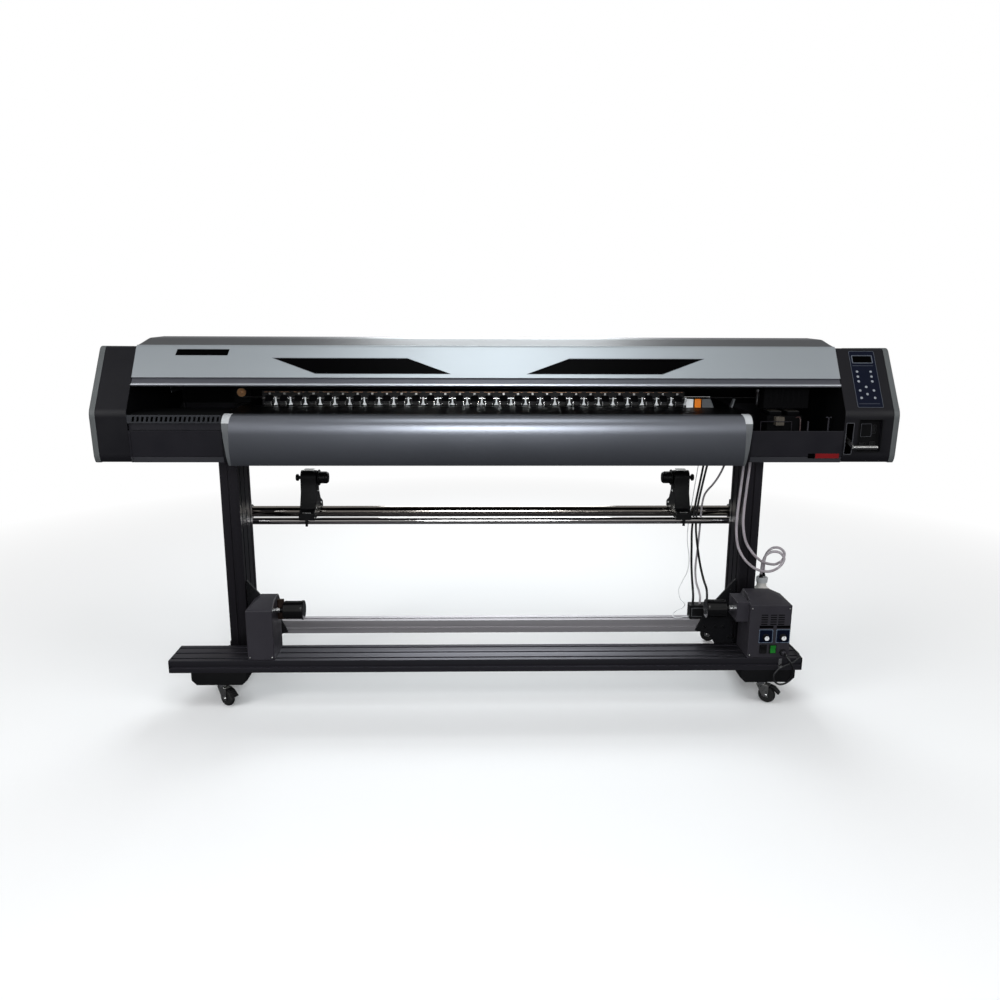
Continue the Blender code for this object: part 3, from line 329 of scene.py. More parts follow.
LOOKS = {
    # name: (material, slot of the record)
    "shell": (powder_coat("shell_paint", (0.0050, 0.0048, 0.0066), 0.42, specular=0.18), "shell_dark"),
    "apron": (satin_paint("apron_paint", (0.185, 0.194, 0.220), 0.33, 0.88), "shell_dark"),
    "cover": (satin_paint("cover_paint", (0.115, 0.118, 0.124), 0.50, 0.85), "shell_dark"),
    # Interior parts: their own near-black plus painted shade under the lid, with almost no sheen so they stay
    # dark whatever light reaches them.
    "inner": (powder_coat("interior_black_and_painted_shade", (0.0015, 0.0015, 0.0018), 0.7, specular=0.02), "shell_dark"),
    "lid": (satin_paint("silver_paint", (0.375, 0.405, 0.43), 0.42), "lid_silver"),
    "lip": (satin_paint("lip_metal", (0.50, 0.52, 0.56), 0.34, 0.9), "lid_silver"),
    "trim": (moulded("trim_plastic", (0.090, 0.096, 0.098), 0.45), "trim_grey"),
    "strip": (moulded("strip_plastic", (0.095, 0.100, 0.105), 0.34, specular=0.4), "trim_grey"),
    "leg": (drawn_metal("dark_anodised_upright", (0.042, 0.039, 0.047), 0.36, "Z"), "extrusion_dark"),
    "beam": (drawn_metal("dark_anodised_beam", (0.050, 0.048, 0.058), 0.48, "X"), "extrusion_dark"),
    "foot": (powder_coat("foot_paint", (0.004, 0.004, 0.005), 0.5, specular=0.15), "extrusion_dark"),
    "platen": (drawn_metal("black_anodised_platen", (0.004, 0.004, 0.005), 0.5, "X"), "extrusion_dark"),
    "aluminium": (drawn_metal("clear_anodised", (0.37, 0.355, 0.372), 0.60, "X"), "extrusion_clear"),
    "chrome": (drawn_metal("chromed_bar", (0.70, 0.67, 0.65), 0.07, "X"), "bar_chrome"),
    "dark_chrome": (drawn_metal("dark_chromed_bar", (0.34, 0.31, 0.28), 0.09, "X"), "bar_chrome"),
    "black": (moulded("black_plastic", (0.0035, 0.0035, 0.0040), 0.42, specular=0.18), "black_plastic"),
    "sleek": (glossy("sleek_black_plastic", (0.0025, 0.0025, 0.0028), 0.16, 0.0, 0.5), "black_plastic"),
    "steel": (cast_metal("zinc_plate", (0.46, 0.46, 0.45), 0.32), "zinc_steel"),
    "brown_steel": (cast_metal("heat_browned_steel", (0.075, 0.050, 0.042), 0.35), "zinc_steel"),
    "dark_steel": (cast_metal("blackened_steel", (0.05, 0.05, 0.052), 0.40), "zinc_steel"),
    "bright": (cast_metal("bright_steel", (0.85, 0.85, 0.84), 0.20), "zinc_steel"),
    "rubber": (rubber("black_rubber", (0.006, 0.006, 0.006)), "rubber_black"),
    "cable": (rubber("cable_sheath", (0.004, 0.004, 0.005), 0.45), "rubber_black"),
    "brass": (cast_metal("brass", (0.36, 0.20, 0.10), 0.36), "brass_pulley"),
    "green": (glossy("green_rocker", (0.010, 0.16, 0.018), 0.20), "switch_green"),
    "gloss": (glossy("gloss_black", (0.0005, 0.0005, 0.0006), 0.35, 0.0, 0.02), "gloss_black"),
    "milky": (hose("milky_plastic", (0.62, 0.60, 0.57), 0.40), "milky_plastic"),
    "pale": (moulded("pale_plastic", (0.42, 0.43, 0.44), 0.36, specular=0.5), "trim_grey"),
    "white": (moulded("white_plastic", (0.80, 0.81, 0.82), 0.40), "milky_plastic"),
    "hose": (hose("waste_hose", (0.42, 0.38, 0.41)), "hose_grey"),
    "grey_cable": (hose("grey_cable", (0.42, 0.39, 0.41), 0.42), "hose_grey"),
    "blue": (glossy("key_sheet", (0.0022, 0.0040, 0.0125), 0.34, 0.0, 0.12), "panel_blue"),
    "groove": (powder_coat("groove_paint", (0.070, 0.071, 0.082), 0.38, 0.5), "lid_silver"),
    "lid_shade": (powder_coat("lid_shadow_line", (0.05, 0.053, 0.058), 0.40, 0.4), "lid_silver"),
    "panel": (powder_coat("panel_paint", (0.0085, 0.0080, 0.0110), 0.38), "shell_dark"),
    "panel_lip": (powder_coat("panel_lip_paint", (0.035, 0.035, 0.040), 0.36), "shell_dark"),
    "louvre": (powder_coat("louvre_paint", (0.024, 0.025, 0.029), 0.40), "shell_dark"),
    "grey_frame": (moulded("grey_frame", (0.055, 0.056, 0.064), 0.42), "shell_dark"),
    "moulding": (moulded("dark_moulding", (0.027, 0.025, 0.031), 0.42), "shell_dark"),
    "copper": (cast_metal("copper_strip", (0.34, 0.20, 0.13), 0.30), "brass_pulley"),
    "tan": (rubber("tan_foam", (0.06, 0.05, 0.038), 0.8), "milky_plastic"),
    "pink": (hose("ink_line", (0.05, 0.028, 0.028), 0.4), "hose_grey"),
    "key": (glossy("pale_key", (0.26, 0.28, 0.31), 0.40, 0.0), "panel_blue"),
    "pale_blue": (glossy("pale_blue_line", (0.16, 0.22, 0.30), 0.40, 0.0), "panel_blue"),
    "sheet_line": (glossy("key_sheet_line", (0.065, 0.075, 0.095), 0.40, 0.0), "panel_blue"),
    "red": (glossy("red_label", (0.17, 0.006, 0.008), 0.40, 0.0, 0.2), "label_red"),
    "orange": (moulded("orange_card", (0.85, 0.22, 0.01), 0.5), "card_orange"),
}
LOOK_OF_SLOT = {
    "shell_dark": "shell", "lid_silver": "lid", "trim_grey": "trim", "extrusion_dark": "beam",
    "extrusion_clear": "aluminium", "bar_chrome": "chrome", "black_plastic": "black", "zinc_steel": "steel",
    "rubber_black": "rubber", "brass_pulley": "brass", "switch_green": "green", "gloss_black": "gloss",
    "milky_plastic": "milky", "hose_grey": "hose",
}


# ---- modelling tools ------------------------------------------------------------------------
def piece(name, work, look, body="frame", smooth=40, bevel=0.0, segments=2, replaces=()):
    """Turn a bmesh in frame coordinates into a finished piece that rides on a body."""
    bmesh.ops.remove_doubles(work, verts=work.verts, dist=0.00001)
    bmesh.ops.recalc_face_normals(work, faces=work.faces)
    if bevel:
        round_edges(work, bevel, segments)
    mesh = bpy.data.meshes.new(name)
    work.to_mesh(mesh)
    work.free()
    return finish_piece(name, mesh, look, body, smooth, replaces)


def finish_piece(name, data, look, body="frame", smooth=40, replaces=()):
    material, slot = LOOKS[look]
    data.materials.clear()
    data.materials.append(material)
    made = bpy.data.objects.new(name, data)
    bpy.context.collection.objects.link(made)
    if isinstance(data, bpy.types.Mesh):
        data.shade_smooth()
        data.set_sharp_from_angle(angle=math.radians(smooth))
        made.modifiers.new("even_normals", "WEIGHTED_NORMAL").keep_sharp = True
    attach(made, body)
    if replaces:
        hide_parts(*replaces)
    return made


def round_edges(work, width, segments, angle=32.0):
    """Round every edge that turns by more than an angle."""
    bmesh.ops.dissolve_limit(work, angle_limit=math.radians(0.6), verts=work.verts, edges=work.edges)
    limit = math.radians(angle)
    sharp = [e for e in work.edges if len(e.link_faces) == 2 and e.calc_face_angle(0.0) > limit]
    bmesh.ops.bevel(work, geom=sharp, offset=width, segments=segments, profile=0.5, affect="EDGES",
                    clamp_overlap=True)
    bmesh.ops.remove_doubles(work, verts=work.verts, dist=0.00001)


def refined(node, look=None, bevel=0.0008, segments=2, smooth=40, name=None):
    """Stand a copy of a CAD node, with its edges rounded, in the node's place."""
    source = frame["nodes"][node]
    work = bmesh.new()
    work.from_mesh(source.data)
    if look is None:
        look = LOOK_OF_SLOT[SLOT_OF_NODE[node]]
    body = source["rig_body"]
    return piece(name or f"{node}_finished", work, look, body, smooth, bevel, segments, (node,))


def skin(work, loops, closed=False):
    """Faces between each loop of corners and the next; the ends are capped unless the row is closed."""
    if not closed:
        work.faces.new(loops[0])
        work.faces.new(loops[-1])
    for one, two in zip(loops, loops[1:] + (loops[:1] if closed else [])):
        for i in range(len(one)):
            j = (i + 1) % len(one)
            work.faces.new((one[i], one[j], two[j], two[i]))
    return work


def prism(work, outline, low, high, place=Matrix.Identity(4)):
    """Extrude an outline of (x, y) points from z = low to z = high, then move it by a matrix."""
    return skin(work, [[work.verts.new(place @ Vector((a, b, z))) for a, b in outline] for z in (low, high)])


def box(work, low, high):
    """Box between its lowest and its highest corner."""
    (x0, y0, z0), (x1, y1, z1) = low, high
    return prism(work, [(x0, y0), (x1, y0), (x1, y1), (x0, y1)], z0, z1)


def boxes(name, corners, look, body="frame", bevel=0.0):
    """A piece made of boxes, each given by its lowest and its highest corner."""
    work = bmesh.new()
    for low, high in corners:
        box(work, low, high)
    return piece(name, work, look, body, bevel=bevel)


def lathe(work, profile, place, sides=48):
    """Turn (distance along z, radius) points about the z axis of a matrix; both ends are closed."""
    return skin(work, [[work.verts.new(place @ Vector((*spot, along))) for spot in circle(radius,
                                                                                          sides=sides)]
                       for along, radius in profile])


def turned(name, profile, centre, direction, look, body="frame", sides=48, replaces=(), smooth=40):
    """A turned piece about an axis through a centre."""
    return piece(name, lathe(bmesh.new(), profile, aim(centre, direction), sides), look, body, smooth,
                 replaces=replaces)


def aim(centre, direction):
    """Matrix whose z axis points in a direction."""
    turn = Vector((0, 0, 1)).rotation_difference(Vector(direction).normalized())
    return Matrix.Translation(Vector(centre)) @ turn.to_matrix().to_4x4()


def facing(axis, x, y, z):
    """Matrix of a wall: its x runs to the right and its y up for one who looks at the wall."""
    right, up, out = {"front": ((1, 0, 0), (0, 0, 1), (0, -1, 0)),
                      "back": ((-1, 0, 0), (0, 0, 1), (0, 1, 0)),
                      "left": ((0, -1, 0), (0, 0, 1), (-1, 0, 0)),
                      "right": ((0, 1, 0), (0, 0, 1), (1, 0, 0)),
                      "top": ((1, 0, 0), (0, 1, 0), (0, 0, 1)),
                      "under": ((1, 0, 0), (0, -1, 0), (0, 0, -1))}[axis]
    turn = Matrix((right, up, out)).transposed().to_4x4()
    return Matrix.Translation((x, y, z)) @ turn


def on_slope(x, z, proud=0.0):
    """Matrix on the sloping front: x to the right, y up the slope, z outwards."""
    up = Vector((0, math.cos(SLOPE_ANGLE), math.sin(SLOPE_ANGLE)))
    out = Vector((0, -math.sin(SLOPE_ANGLE), math.cos(SLOPE_ANGLE)))
    turn = Matrix(((1, 0, 0), up, out)).transposed().to_4x4()
    return Matrix.Translation((x, slope_y(z, proud), z)) @ turn


def slope_y(z, proud=0.0):
    return NOSE_Y + (z - NOSE_Z) / SLOPE - proud * math.hypot(1, 1 / SLOPE)


def rectangle(width, height, corner=0.0, x=0.0, y=0.0, steps=4):
    """Outline of a rectangle with round corners, about a middle."""
    if not corner:
        return [(x - width / 2, y - height / 2), (x + width / 2, y - height / 2),
                (x + width / 2, y + height / 2), (x - width / 2, y + height / 2)]
    outline = []
    for k, (sx, sy) in enumerate(((1, -1), (1, 1), (-1, 1), (-1, -1))):
        cx = x + sx * (width / 2 - corner)
        cy = y + sy * (height / 2 - corner)
        for s in range(steps + 1):
            angle = math.radians(-90 + 90 * k + 90 * s / steps)
            outline.append((cx + corner * math.cos(angle), cy + corner * math.sin(angle)))
    return outline


def circle(radius, x=0.0, y=0.0, sides=24):
    return [(x + radius * math.cos(2 * math.pi * k / sides), y + radius * math.sin(2 * math.pi * k / sides))
            for k in range(sides)]


def soften(outline, reach, steps=5):
    """Round the corners of a closed outline; reach is one distance, or one for each corner."""
    reaches = reach if isinstance(reach, (list, tuple)) else [reach] * len(outline)
    made = []
    for k, (point, cut) in enumerate(zip(outline, reaches)):
        here = Vector(point)
        before = Vector(outline[k - 1]) - here
        after = Vector(outline[(k + 1) % len(outline)]) - here
        cut = min(cut, before.length * 0.45, after.length * 0.45)
        if cut <= 0:
            made.append(tuple(here))
            continue
        start, stop = here + before.normalized() * cut, here + after.normalized() * cut
        for s in range(steps + 1):
            t = s / steps
            made.append(tuple(start * (1 - t) ** 2 + here * (2 * t * (1 - t)) + stop * t ** 2))
    return made


def ring_plate(work, outer, inner, low, high, place):
    """A flat frame between two outlines that have the same number of points."""
    levels = ((outer, low), (outer, high), (inner, high), (inner, low))
    return skin(work, [[work.verts.new(place @ Vector((a, b, level))) for a, b in outline]
                       for outline, level in levels], closed=True)


def screw_head(work, place, radius=0.004, height=0.0024, sides=24):
    """Low round head with a hexagon socket."""
    def ring(size, level, six=False):
        spots = []
        for k in range(sides):
            angle = 2 * math.pi * k / sides
            reach = size
            if six:
                reach = size * math.cos(math.pi / 6) / math.cos(angle % (math.pi / 3) - math.pi / 6)
            spots.append(work.verts.new(place @ Vector((reach * math.cos(angle), reach * math.sin(angle),
                                                        level))))
        return spots
    skin(work, [ring(radius, 0.0), ring(radius, height * 0.45), ring(radius * 0.86, height * 0.85),
                ring(radius * 0.62, height), ring(radius * 0.50, height, True),
                ring(radius * 0.50, height * 0.3, True)])


def screws(name, places, look="steel", body="frame", radius=0.004):
    """A set of alike screws as one piece."""
    work = bmesh.new()
    for place in places:
        screw_head(work, place, radius, radius * 0.6)
    return piece(name, work, look, body)


SLOT_OF_NODE = {row["node"]: row["material_slot"] for row in frame["record"]["subparts"]}


# ---- cords ----------------------------------------------------------------------------------
POWER_BOX_X, POWER_BOX_TOP = (0.747, 0.830), 0.303
CAP_TOP = 0.408
MOTOR_RIGHT = 1.056
GLAND_END = BODY_BOTTOM - 0.008 - GAP

ROUTES = {
    # name: (diameter, look, stiffness, route)
    "waste_tube_left": (0.010, "hose", "medium", [
        (0.897, -0.128, GLAND_END), (0.897, -0.128, 0.860), (0.892, -0.129, 0.780), (0.886, -0.131, 0.690),
        (0.886, -0.131, 0.620), (0.898, -0.129, 0.555), (0.928, -0.125, 0.505), (0.968, -0.117, 0.470),
        (1.010, -0.100, 0.452), (1.052, -0.078, 0.447), (1.088, -0.060, 0.462), (1.101, -0.056, 0.487),
        (1.088, -0.052, 0.508), (1.062, -0.048, 0.514), (1.036, -0.044, 0.500), (1.025, -0.041, 0.472),
        (1.022, -0.040, 0.440), (1.022, -0.040, CAP_TOP + GAP)]),
    "waste_tube_right": (0.010, "hose", "medium", [
        (0.921, -0.128, GLAND_END), (0.920, -0.128, 0.860), (0.914, -0.130, 0.780), (0.909, -0.132, 0.700),
        (0.911, -0.131, 0.635), (0.926, -0.128, 0.575), (0.958, -0.121, 0.528), (0.994, -0.104, 0.495),
        (1.040, -0.064, 0.470), (1.080, -0.036, 0.461), (1.106, -0.028, 0.476), (1.111, -0.025, 0.502),
        (1.093, -0.022, 0.520), (1.066, -0.020, 0.520), (1.046, -0.019, 0.500), (1.038, -0.018, 0.470),
        (1.038, -0.018, 0.440), (1.038, -0.018, CAP_TOP + GAP)]),
    "power_cable_left": (0.009, "cable", "medium", [
        (0.845, 0.205, GLAND_END), (0.845, 0.205, 0.865), (0.838, 0.205, 0.800), (0.826, 0.204, 0.720),
        (0.815, 0.202, 0.650), (0.808, 0.198, 0.590), (0.800, 0.180, 0.540), (0.790, 0.130, 0.478),
        (0.778, 0.070, 0.423), (0.768, 0.010, 0.384), (0.762, -0.032, 0.360), (0.762, -0.044, 0.334),
        (0.762, -0.044, POWER_BOX_TOP + GAP)]),
    "power_cable_right": (0.009, "cable", "medium", [
        (0.869, 0.205, GLAND_END), (0.867, 0.205, 0.865), (0.853, 0.205, 0.800), (0.838, 0.204, 0.720),
        (0.826, 0.202, 0.650), (0.820, 0.199, 0.590), (0.818, 0.185, 0.535), (0.818, 0.140, 0.470),
        (0.817, 0.080, 0.415), (0.816, 0.015, 0.378), (0.816, -0.032, 0.358), (0.816, -0.044, 0.334),
        (0.816, -0.044, POWER_BOX_TOP + GAP)]),
    "signal_cable": (0.008, "grey_cable", "medium", [
        (0.900, 0.100, GLAND_END), (0.900, 0.101, 0.868), (0.894, 0.108, 0.820), (0.878, 0.124, 0.770),
        (0.864, 0.147, 0.734), (0.855, 0.176, 0.708), (0.849, 0.205, 0.678), (0.846, 0.220, 0.635),
        (0.844, 0.222, 0.585), (0.838, 0.206, 0.525), (0.822, 0.160, 0.462), (0.802, 0.100, 0.402),
        (0.790, 0.030, 0.366), (0.788, -0.028, 0.348), (0.789, -0.044, 0.330),
        (0.789, -0.044, POWER_BOX_TOP + GAP)]),
    "sensor_wire": (0.003, "white", "limp", [
        (0.822, 0.205, GLAND_END), (0.822, 0.205, 0.860), (0.817, 0.205, 0.800), (0.808, 0.205, 0.720),
        (0.800, 0.204, 0.650), (0.790, 0.200, 0.580), (0.782, 0.175, 0.500), (0.777, 0.110, 0.440),
        (0.760, 0.060, 0.400), (0.732, 0.020, 0.372), (0.712, -0.012, 0.345), (0.716, -0.034, 0.318),
        (0.732, -0.040, 0.300), (0.726, -0.036, 0.284), (0.704, -0.034, 0.272), (0.690, -0.038, 0.260),
        (0.688, -0.048, 0.2515), (0.700, -0.056, 0.2502), (0.716, -0.053, 0.2502), (0.728, -0.050, 0.2520),
        (0.737, -0.050, 0.2525), (POWER_BOX_X[0] - GAP, -0.050, 0.2525)]),
    "takeup_cable": (0.007, "cable", "medium", [
        (1.034, -0.3155, 0.208), (1.034, -0.327, 0.208), (1.037, -0.3375, 0.204), (1.045, -0.345, 0.193),
        (1.054, -0.346, 0.174), (1.060, -0.341, 0.150), (1.058, -0.333, 0.122), (1.044, -0.325, 0.100),
        (1.022, -0.320, 0.093), (1.005, -0.316, 0.104), (1.003, -0.3135, 0.126), (1.016, -0.3125, 0.146),
        (1.040, -0.3125, 0.161), (1.066, -0.3125, 0.173), (1.085, -0.309, 0.186), (1.095, -0.294, 0.1955),
        (1.099, -0.268, 0.1935), (1.099, -0.240, 0.192), (1.094, -0.216, 0.196), (1.080, -0.203, 0.200),
        (MOTOR_RIGHT + GAP, -0.203, 0.200)]),
}


def smooth_route(points, steps=8):
    """Centripetal Catmull-Rom curve through the points."""
    spots = [Vector(p) for p in points]
    spots = [2 * spots[0] - spots[1]] + spots + [2 * spots[-1] - spots[-2]]
    fine = []
    for p0, p1, p2, p3 in zip(spots, spots[1:], spots[2:], spots[3:]):
        t0 = 0.0
        t1 = t0 + (p1 - p0).length ** 0.5
        t2 = t1 + (p2 - p1).length ** 0.5
        t3 = t2 + (p3 - p2).length ** 0.5
        for k in range(steps):
            t = t1 + (t2 - t1) * k / steps
            a1 = p0.lerp(p1, (t - t0) / (t1 - t0))
            a2 = p1.lerp(p2, (t - t1) / (t2 - t1))
            a3 = p2.lerp(p3, (t - t2) / (t3 - t2))
            b1 = a1.lerp(a2, (t - t0) / (t2 - t0))
            b2 = a2.lerp(a3, (t - t1) / (t3 - t1))
            fine.append(b1.lerp(b2, (t - t1) / (t2 - t1)))
    fine.append(spots[-2])
    return fine


def wire(name, spots, diameter, look, body="frame", replaces=(), resolution=4):
    """A round tube along points."""
    data = bpy.data.curves.new(name, "CURVE")
    data.dimensions = "3D"
    data.bevel_depth = diameter / 2
    data.bevel_resolution = resolution
    data.use_fill_caps = True
    line = data.splines.new("POLY")
    line.points.add(len(spots) - 1)
    for point, spot in zip(line.points, spots):
        point.co = (*spot, 1.0)
    line.use_smooth = True
    return finish_piece(name, data, look, body, replaces=replaces)


def cords():
    for name, (diameter, look, stiffness, route) in ROUTES.items():
        spots = smooth_route(route)
        made = wire(f"{name}_sheath", spots, diameter, look, replaces=(name,))


# ---- body shell -----------------------------------------------------------------------------
LEFT_IN, RIGHT_IN = -1.2455, 1.1825          # inner faces of the end caps
WIDTH, TRIM = 2.74, 0.021
CORNER_REACH = (0.004, 0.010, 0.016, 0.012, 0.020, 0.020, 0.005)


def side_profile(inset=0.0):
    """Outline of the body seen from its side, drawn in by an even inset, its corners rounded."""
    slope_shift = inset * math.hypot(1, 1 / SLOPE)
    nose_drop = inset * 0.30
    back_cut = inset * 0.42
    corners = [(NOSE_Y + 0.015 + inset, BODY_BOTTOM + inset),
               (NOSE_Y + 0.007 + inset, BODY_BOTTOM + 0.019 + nose_drop),
               (NOSE_Y + inset, NOSE_Z - nose_drop),
               (TOP_FRONT_Y + slope_shift - inset / SLOPE, BODY_TOP - inset),
               (0.200 - back_cut, TOP_BACK - inset),
               (REAR_Y - inset, 1.160 - back_cut),
               (REAR_Y - inset, BODY_BOTTOM + inset)]
    return soften(corners, CORNER_REACH, 6)


def side_trim(name, outer_x, inward):
    """Lighter plastic edge; its outer rim is rounded in three steps."""
    work = bmesh.new()
    levels = [(TRIM, -0.0015), (0.006, -0.0015), (0.0032, -0.0008), (0.0012, 0.0012), (0.0, 0.0045)]
    loops = []
    for depth, inset in levels:
        x = outer_x + inward * depth
        loops.append([work.verts.new((x, y, z)) for y, z in side_profile(inset)])
    return piece(name, skin(work, loops), "trim", smooth=50, replaces=(name.replace("_finished", ""),))


def boolean(target, work, operation="DIFFERENCE"):
    """Cut a bmesh out of a finished piece, or join it on, and leave a plain mesh."""
    mesh = bpy.data.meshes.new("tool")
    bmesh.ops.recalc_face_normals(work, faces=work.faces)
    work.to_mesh(mesh)
    work.free()
    tool = bpy.data.objects.new("tool", mesh)
    bpy.context.collection.objects.link(tool)
    change = target.modifiers.new("tool", "BOOLEAN")
    change.operation = operation
    change.object = tool
    change.solver = "EXACT"
    bpy.context.view_layer.update()
    shown = target.evaluated_get(bpy.context.evaluated_depsgraph_get())
    made = bpy.data.meshes.new_from_object(shown)
    target.modifiers.clear()
    target.data = made
    bpy.data.objects.remove(tool, do_unlink=True)
    made.shade_smooth()
    made.set_sharp_from_angle(angle=math.radians(35))
    target.modifiers.new("even_normals", "WEIGHTED_NORMAL").keep_sharp = True
    return target


LEVER_X = 1.2015
SLOT_LOW, SLOT_HIGH, SLOT_HALF = 0.935, 1.043, 0.0125
POCKET_X, POCKET_Z, POCKET_DEPTH = (1.232, 1.313), (0.944, 1.055), 0.022


def end_cap(name, inner_x, outer_x, node):
    """Thin housing at one end of the body, open towards the middle of the machine."""
    inward = 1 if outer_x > inner_x else -1
    work = bmesh.new()
    chamfer = 0.0015
    stations = ((outer_x - inward * SHEET, SHEET), (inner_x, SHEET), (inner_x, chamfer),
                (inner_x + inward * chamfer, 0.0), (outer_x, 0.0))
    loops = [[work.verts.new((x, y, z)) for y, z in side_profile(inset)] for x, inset in stations]
    return piece(name, skin(work, loops), "shell", smooth=50, replaces=(node,))


def end_caps():
    """Both end caps with their trims and inner plates, the lever's slot and the pocket in the right one."""
    end_cap("left_end_cap_finished", LEFT_IN, -WIDTH / 2 + TRIM + GAP, "left_end_cap")
    cap = end_cap("right_end_cap_finished", RIGHT_IN, WIDTH / 2 - TRIM - GAP, "right_end_cap")
    wall = 0.003
    boolean(cap, box(bmesh.new(), (POCKET_X[0] - wall, NOSE_Y + 0.0095, POCKET_Z[0] - wall),
                     (POCKET_X[1] + wall, NOSE_Y + POCKET_DEPTH + wall, POCKET_Z[1] + wall)), "UNION")
    openings = bmesh.new()
    width, height = POCKET_X[1] - POCKET_X[0], POCKET_Z[1] - POCKET_Z[0]
    prism(openings, rectangle(width, height, 0.004), -POCKET_DEPTH, 0.02,
          facing("front", sum(POCKET_X) / 2, NOSE_Y, sum(POCKET_Z) / 2))
    prism(openings, rectangle(2 * SLOT_HALF, SLOT_HIGH - SLOT_LOW, 0.004), -0.03, 0.02,
          facing("front", LEVER_X, NOSE_Y, (SLOT_LOW + SLOT_HIGH) / 2))
    boolean(cap, openings)
    side_trim("left_side_trim_finished", -WIDTH / 2, 1)
    side_trim("right_side_trim_finished", WIDTH / 2, -1)
    for side, x in (("left", LEFT_IN - 0.006), ("right", RIGHT_IN + 0.003)):
        plate = prism(bmesh.new(), side_profile(0.0055), x, x + 0.003, facing("right", 0, 0, 0))
        piece(f"{side}_side_plate", plate, "inner", bevel=0.0006)


# ---- lid ------------------------------------------------------------------------------------
LID_PROUD = 0.003
LID_HINGE = (TOP_FRONT_Y + 0.005, 1.2885)
LID_FACE_LOW, LID_LOW = 1.188, 1.158
LID_LEFT, LID_RIGHT = LEFT_IN + 0.001, RIGHT_IN - 0.001


def arc(centre, radius, start, stop, steps):
    """Points on an arc, in degrees from the first axis."""
    angles = [math.radians(start + (stop - start) * k / steps) for k in range(steps + 1)]
    return [(centre[0] + radius * math.cos(a), centre[1] + radius * math.sin(a)) for a in angles]


def extruded(name, outline, left, right, look, body="frame", bevel=0.0008, smooth=40, replaces=()):
    """A (y, z) outline drawn out along X."""
    return piece(name, prism(bmesh.new(), outline, left, right, facing("right", 0, 0, 0)), look, body,
                 smooth, bevel, replaces=replaces)


def lid_point(z, depth):
    return slope_y(z, LID_PROUD - depth), z


def slanted(x_low, x_high, z_low, z_high, shift, proud, height, corner=0.0018):
    """Plate on the lid whose upper edge is shifted sideways against its lower edge."""
    rise = (z_high - z_low) / math.sin(SLOPE_ANGLE)
    width = x_high - x_low
    outline = soften([(0, 0), (width, 0), (width + shift, rise), (shift, rise)], corner)
    return prism(bmesh.new(), outline, 0, height, on_slope(x_low, z_low, proud))


def lid():
    """Silver panel over a dark groove and a bright grip, with two windows and a blank badge."""
    panel = [lid_point(1.284, 0.0), lid_point(LID_FACE_LOW, 0.0), lid_point(LID_FACE_LOW - 0.001, 0.004),
             lid_point(1.276, 0.0038), *arc(LID_HINGE, 0.0044, 250, 480, 14)]
    extruded("lid_panel", panel, LID_LEFT, LID_RIGHT, "lid", "lid", 0.0011, replaces=("lid",))
    grip = (slope_y(LID_LOW + 0.006, LID_PROUD - 0.008), LID_LOW + 0.006)
    groove = [lid_point(LID_FACE_LOW - 0.0012, 0.0045), lid_point(LID_FACE_LOW - 0.004, 0.0065),
              (grip[0], grip[1] + 0.0058), (grip[0] + 0.020, LID_LOW + 0.004),
              (grip[0] + 0.008, LID_LOW + 0.006), lid_point(LID_FACE_LOW - 0.002, 0.0095)]
    extruded("lid_groove", groove, LID_LEFT + 0.001, LID_RIGHT - 0.001, "groove", "lid", 0.0)
    extruded("lid_grip", circle(0.0059, *grip, 28), LID_LEFT, LID_RIGHT, "lip", "lid", 0.0006)
    windows = {"left": (-0.621, -0.164, -0.1455), "right": (0.100, 0.563, 0.1440)}
    for side, (low, high, shift) in windows.items():
        piece(f"{side}_window", slanted(low, high, 1.201, 1.2495, shift, LID_PROUD, 0.0007), "gloss", "lid",
              bevel=0.0003)
        # Dark rim a little wider than each window, in the lid's shadow-line paint: a painted shadow line
        # round the window.
        outline = slanted(low - 0.0035, high + 0.0035, 1.1995, 1.2512, shift * 1.05, LID_PROUD - 0.001,
                          0.0012, 0.0024)
        piece(f"{side}_window_shadow_line", outline, "lid_shade", "lid", bevel=0.0002)
    piece("badge", slanted(-1.107, -0.929, 1.2590, 1.2790, 0.005, LID_PROUD, 0.0009, 0.0012), "gloss", "lid",
          bevel=0.0003)


# ---- top and rear cover ---------------------------------------------------------------------
COVER_FRONT, COVER_RIDGE = (-0.1470, 1.2915), 1.313
TRAY_FRONT, TRAY_REAR, TRAY_WALL_TOP = -0.297, 0.286, 1.016
REAR_SLOT_TOP = 1.100
COVER_ROUND = 0.010


def cover_line(inset, drop):
    """Section of the cover from its front edge over the ridge to the media slot."""
    top = COVER_RIDGE - inset - drop
    corners = [(COVER_FRONT[0] + 0.4 * inset, COVER_FRONT[1] - 0.95 * inset), (-0.050, top),
               (0.135 - 0.4 * inset, top),
               (TRAY_REAR - inset, 1.155 - 0.4 * inset), (TRAY_REAR - inset, REAR_SLOT_TOP)]
    line = []
    for k, (here, reach) in enumerate(zip(corners, (0, 0.014, 0.05, 0.03, 0))):
        line += [here] if not reach else soften(corners[k - 1:k + 2], [0, reach, 0], 8)[1:-1]
    return line


